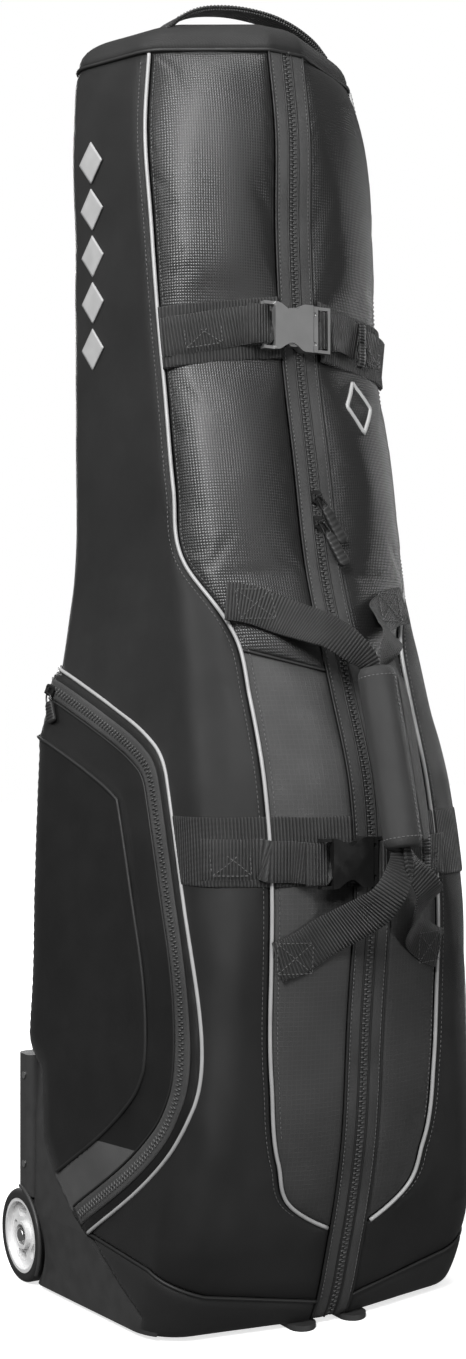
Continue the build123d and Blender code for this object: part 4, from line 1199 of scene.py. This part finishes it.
def build_wrap():
    """Padded wrap round the two webbing loops, its flap, and the loops themselves."""
    rings, sides = 64, 48
    t = np.linspace(0, 1, rings)[:, None]
    turn = np.linspace(0, 2 * math.pi, sides, endpoint=False)[None]
    lip = np.clip(1 - np.minimum(t, 1 - t) / 0.05, 0, 1)
    swell = 1.06 + 0.03 * np.sin(math.pi * t) - 0.2 * lip**2
    c, s = np.cos(turn), np.sin(turn)
    x = c * 17.2 * swell
    y = s * 16 * swell
    pleat = 0.5 * np.sin(turn + t * 5) * np.sin(math.pi * t)
    outer = on_wrap(x + pleat * c, y + pleat * s, t * WRAP_LENGTH + 0 * turn)
    points = outer.reshape(-1, 3)
    ends = [on_wrap(c[0] * 11, s[0] * 9.5, 2.5), on_wrap(c[0] * 11, s[0] * 9.5, WRAP_LENGTH - 2.5)]
    count = len(points)
    points = np.concatenate([points] + ends)
    faces = ring_faces(rings, sides, ends=False)
    for j in range(sides):
        k = (j + 1) % sides
        faces.append((k, j, count + j, count + k))
        top = (rings - 1) * sides
        faces.append((top + j, top + k, count + sides + k, count + sides + j))
    faces.append(tuple(count + j for j in range(sides))[::-1])
    faces.append(tuple(count + sides + j for j in range(sides)))
    uv = np.stack([np.broadcast_to(turn * 17, t.shape[:1] + turn.shape[1:]),
                   np.broadcast_to(t * WRAP_LENGTH, t.shape[:1] + turn.shape[1:])], -1).reshape(-1, 2)
    uv = np.concatenate([uv, np.zeros((2 * sides, 2))])
    wrap = add_mesh("grip_wrap", points, faces, uv, LEATHERY)
    label(wrap, "wrap_leather", "handle_wrap", "case")
    for along, name in ((9, "foot"), (WRAP_LENGTH - 9, "head")):
        loop = np.linspace(0, 2 * math.pi, 60)
        c, s = np.cos(loop), np.sin(loop)
        ring = on_wrap(c * 18.4, s * 17.2, along)
        out = on_wrap(c, s, 0) - WRAP_FOOT
        stitches(f"grip_stitch_{name}", ring, out, radius=0.5)
    front = np.linspace(6, WRAP_LENGTH - 6, 30)
    stitches("grip_stitch_front", on_wrap(9.0, -15.6, front), WRAP_SIDE * 0.5 - WRAP_BACK * 0.86, radius=0.45)

    # Flap: a stiff padded leaf hinged down the right edge of the wrap.
    u, v = np.meshgrid(np.linspace(0, 1, 14), spread(50, 0.5), indexing="ij")
    lean = math.radians(35)
    reach = 27 * (1 - 0.55 * np.abs(2 * v - 1) ** 6)
    out = u * reach
    x = 22.2 + out * math.cos(lean)
    y = out * math.sin(lean) + 2.5 * np.sin(math.pi * u) * 0.8
    at = on_wrap(x, y, 6 + v * (WRAP_LENGTH - 12))
    normal = -(WRAP_BACK * math.cos(lean) - WRAP_SIDE * math.sin(lean)) + np.zeros(at.shape)
    thick = 1.6 + 2.0 * ease(np.minimum(np.minimum(u, 1 - u) * 27, np.minimum(v, 1 - v) * 150), 6)
    flap = solid_grid("grip_flap", at + normal * (thick / 2)[..., None], normal, thick,
                      np.stack([out, v * 156], -1), LEATHERY)
    label(flap, "wrap_leather", "wrap_flap", "flap")

    # Loops: each end is sewn flat by the piping, then lifts off and turns into the wrap.
    width = np.interp(np.linspace(0, 1, 40), [0, 0.6, 0.85, 1], [38, 38, 26, 15])
    head = WRAP_LENGTH
    loops = (("upper", (100, 86, 72, 58), (688, 686, 682, 676), 10.6,
              ((22, 2, head + 22), (8, 0, head + 7), (2.5, 0, head - 6)),
              ((0.1, -0.98, 0.2), (0.5, -0.85, 0.1), (0.8, -0.6, 0)), 685, 12.0),
             ("lower", (90, 78, 66, 54), (360, 364, 370, 378), 6.6,
              ((18, 0, -34), (6, 0, -14), (2.5, 0, 6)),
              ((0.1, -0.98, -0.1), (0.3, -0.9, 0), (0.6, -0.8, 0)), 363, 8.0))
    for sign, side in ((-1, "left"), (1, "right")):
        for tall, x, z, lie, free, turned, stitched_at, lift in loops:
            lying, normal = front_at(sign * np.array(x), z, lie)
            free = [on_wrap(sign * across, back, along) for across, back, along in free]
            facing = respaced_to(np.concatenate([normal, np.array(turned) * [sign, 1, 1]]), 40)
            loop = strap(f"carry_{tall}_{side}", curve_points(np.concatenate([lying, free]), 40), facing,
                         WEBBING, width)
            label(loop, "webbing", "carry_webbing" if (tall, sign) == ("upper", -1) else None)
            box_stitch(f"carry_box_{tall}_{side}", *sorted((58 * sign, 90 * sign)),
                       lambda x, at=stitched_at: at + 0 * x, 14, lift)


def respaced_to(rows, n):
    at = np.linspace(0, len(rows) - 1, n)
    return np.column_stack([np.interp(at, np.arange(len(rows)), rows[:, k]) for k in range(rows.shape[1])])


def build_top_handle():
    """A double webbing arch, its ends sewn down on the cap."""
    anchors = [(-98, 66, 1268), (-86, 66, 1279), (-64, 65, 1292), (-32, 64, 1300), (0, 64, 1302.5),
               (32, 64, 1300), (62, 65, 1291), (82, 66, 1280), (93, 66, 1270)]
    path = curve_points(anchors, 60)
    for lift, width, name in ((0, 30, "outer"), (-2.4, 27, "inner")):
        loop = strap(f"top_handle_{name}", path + [0, 0, lift], (0, -0.05, 1), WEBBING, width)
        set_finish(loop, "webbing")
    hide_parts("top_handle")
    for y in (52, 76):
        stitches(f"top_handle_stitch_{y}", path[4:-4] + [0, y - 64, 1.4], (0, 0, 1.0))


# ------------------------------------------------------------ marks and seams
def build_marks():
    """A column of plain lozenges on the left side, and a plain diamond on the right front."""
    for index in range(5):
        u, v = np.meshgrid(np.linspace(-1, 1, 13), np.linspace(-1, 1, 13), indexing="ij")
        at_y = 112 + (u - v) / 2 * 17
        z = 1138 - 47 * index + (u + v) / 2 * 21
        s = s_at_y(at_y, z)
        point, normal = surface(s, z, 4.6)
        point[..., 0] *= -1
        normal[..., 0] *= -1
        mark = solid_grid(f"side_lozenge_{index}", point[::-1], normal[::-1], np.full(u.shape, 1.4),
                          np.stack([s, z], -1)[::-1], PIPE)
        label(mark, "reflective_piping", body="case")
    turn = np.linspace(0, 2 * math.pi, 4, endpoint=False) + math.pi / 2
    corners = np.column_stack([64 + 17 * np.cos(turn), 886 + 27 * np.sin(turn)])
    closed = respaced(np.concatenate([corners, corners[:1]]), 3)
    point, normal = front_at(closed[:, 0], closed[:, 1], 60.0)
    bpy.context.view_layer.update()
    pad = bpy.data.objects["right_pad"]
    point = np.array([pad.ray_cast(Vector(p * MM), Vector(-n))[1] for p, n in zip(point, normal)]) / MM
    badge = tube("front_diamond", point, 2.2, PIPE, 8)
    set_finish(badge, "reflective_piping")


def build_seams():
    """Rows of thread beside the main seams."""
    z = np.arange(120.0, TOP - 6, 5)
    for sign, side in ((1, "right"), (-1, "left")):
        for offset, lift, kind in ((8, 2.8, "side"), (-7, 5.0, "front")):
            keep = z if kind == "side" else z[z > 190]
            point, normal = surface(sign * (s_piping(keep) + offset), keep, lift if kind == "side" else
                                    np.where(keep > 634, 4.6, 2.6))
            stitches(f"thread_{kind}_{side}", point, normal, pitch=4.6)
        point, normal = surface(sign * 17.0, np.arange(30.0, TOP - 6, 5), 2.0)
        stitches(f"thread_tape_{side}", point, normal, pitch=4.2)


# ------------------------------------------------------------ stage
def build_stage():
    bpy.ops.mesh.primitive_plane_add(size=14, location=(0, 0, 0))
    floor = bpy.context.active_object
    floor.name = "floor"
    m = Shader("floor_paper", 0.8)
    m.grey(m.ramp(m.noise(1.5), 0.86, 0.9))
    m.bsdf.inputs["Emission Color"].default_value = (1, 1, 1, 1)
    away = m.node("ShaderNodeVectorMath", operation="LENGTH")
    m.link(m.node("ShaderNodeTexCoord").outputs["Object"], away.inputs[0])
    m.link(m.ramp(away.outputs["Value"], 0.7, 1.0, 0.45, 1.6), m.bsdf.inputs["Emission Strength"])
    m.bsdf.inputs["Specular IOR Level"].default_value = 0.0
    floor.data.materials.append(m.material)
    floor.visible_glossy = False
    floor.visible_diffuse = False
    world = bpy.data.worlds.new("studio")
    bpy.context.scene.world = world
    world.use_nodes = True
    tree = world.node_tree
    seen = tree.nodes.new("ShaderNodeLightPath")
    glow = tree.nodes.new("ShaderNodeMapRange")
    glow.inputs["To Min"].default_value = 0.16
    glow.inputs["To Max"].default_value = 1.0
    tree.links.new(seen.outputs["Is Camera Ray"], glow.inputs["Value"])
    tree.links.new(glow.outputs[0], tree.nodes["Background"].inputs["Strength"])
    tree.nodes["Background"].inputs["Color"].default_value = (1, 1, 1, 1)
    bpy.context.scene.view_settings.view_transform = "Standard"
    lights = [("key", (-2.3, -2.4, 2.6), (0, 0, 1.0), (0.7, 1.0), 28),
              ("pad_strip", (-1.75, -1.55, 2.25), (-0.05, 0, 1.0), (0.16, 1.3), 84),
              ("right_rim", (2.3, 0.5, 1.1), (0.1, 0, 0.6), (0.2, 1.4), 9),
              ("side_strip", (-2.8, 0.6, 2.3), (0, 0, 1.0), (0.4, 1.0), 26),
              ("low_front", (0.5, -2.8, 0.4), (0.05, 0, 0.2), (0.6, 0.5), 22),
              ("back_fill", (0.5, 3.3, 1.9), (0, 0, 0.7), (1.0, 1.2), 45),
              ("top", (-0.3, -0.5, 3.2), (0, 0, 0.9), (1.2, 1.2), 30)]
    for name, place, target, size, power in lights:
        data = bpy.data.lights.new(name, "AREA")
        data.energy = power
        data.shape = "RECTANGLE"
        data.size, data.size_y = size
        lamp = bpy.data.objects.new(name, data)
        bpy.context.collection.objects.link(lamp)
        lamp.location = place
        lamp.rotation_euler = (Vector(target) - Vector(place)).to_track_quat("-Z", "Y").to_euler()


def build_camera():
    """Level camera, 31 degrees to the left of the case's front."""
    data = bpy.data.cameras.new("camera")
    data.lens = 49.0
    data.sensor_width = 36
    camera = bpy.data.objects.new("camera", data)
    bpy.context.collection.objects.link(camera)
    camera.location = (-0.9922, -1.5618, 0.617)
    camera.rotation_euler = (math.radians(90), 0, math.radians(-31))
    bpy.context.scene.camera = camera


build_shell()
build_fenders()
build_zip()
build_piping()
build_cords()
build_belts()
build_pockets()
build_straps()
build_grips()
build_wrap()
build_top_handle()
build_marks()
build_seams()
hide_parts("inner_straps", "top_padding")
build_stage()
build_camera()

dress(PLASTIC, "left_wheel_housing", "right_wheel_housing", "skid_plate", "base_tray", "back_stiffener")
dress(GLOSSY, "lower_buckle_socket", "lower_buckle_plug", "lower_prong_top", "lower_prong_bottom")
dress(GREY_METAL, "upper_buckle_socket", "upper_buckle_plug", "upper_prong_top", "upper_prong_bottom")
dress(BLACK_METAL, "upper_slider", "lower_slider", "left_pocket_slider", "right_pocket_slider",
      "handle_rivets")
dress(STEEL, "wheel_axles", "axle_nuts", "housing_screws", "left_bearings", "right_bearings")
dress(SILVER, "left_hub", "right_hub")
dress(TYRE, "left_tyre", "right_tyre")
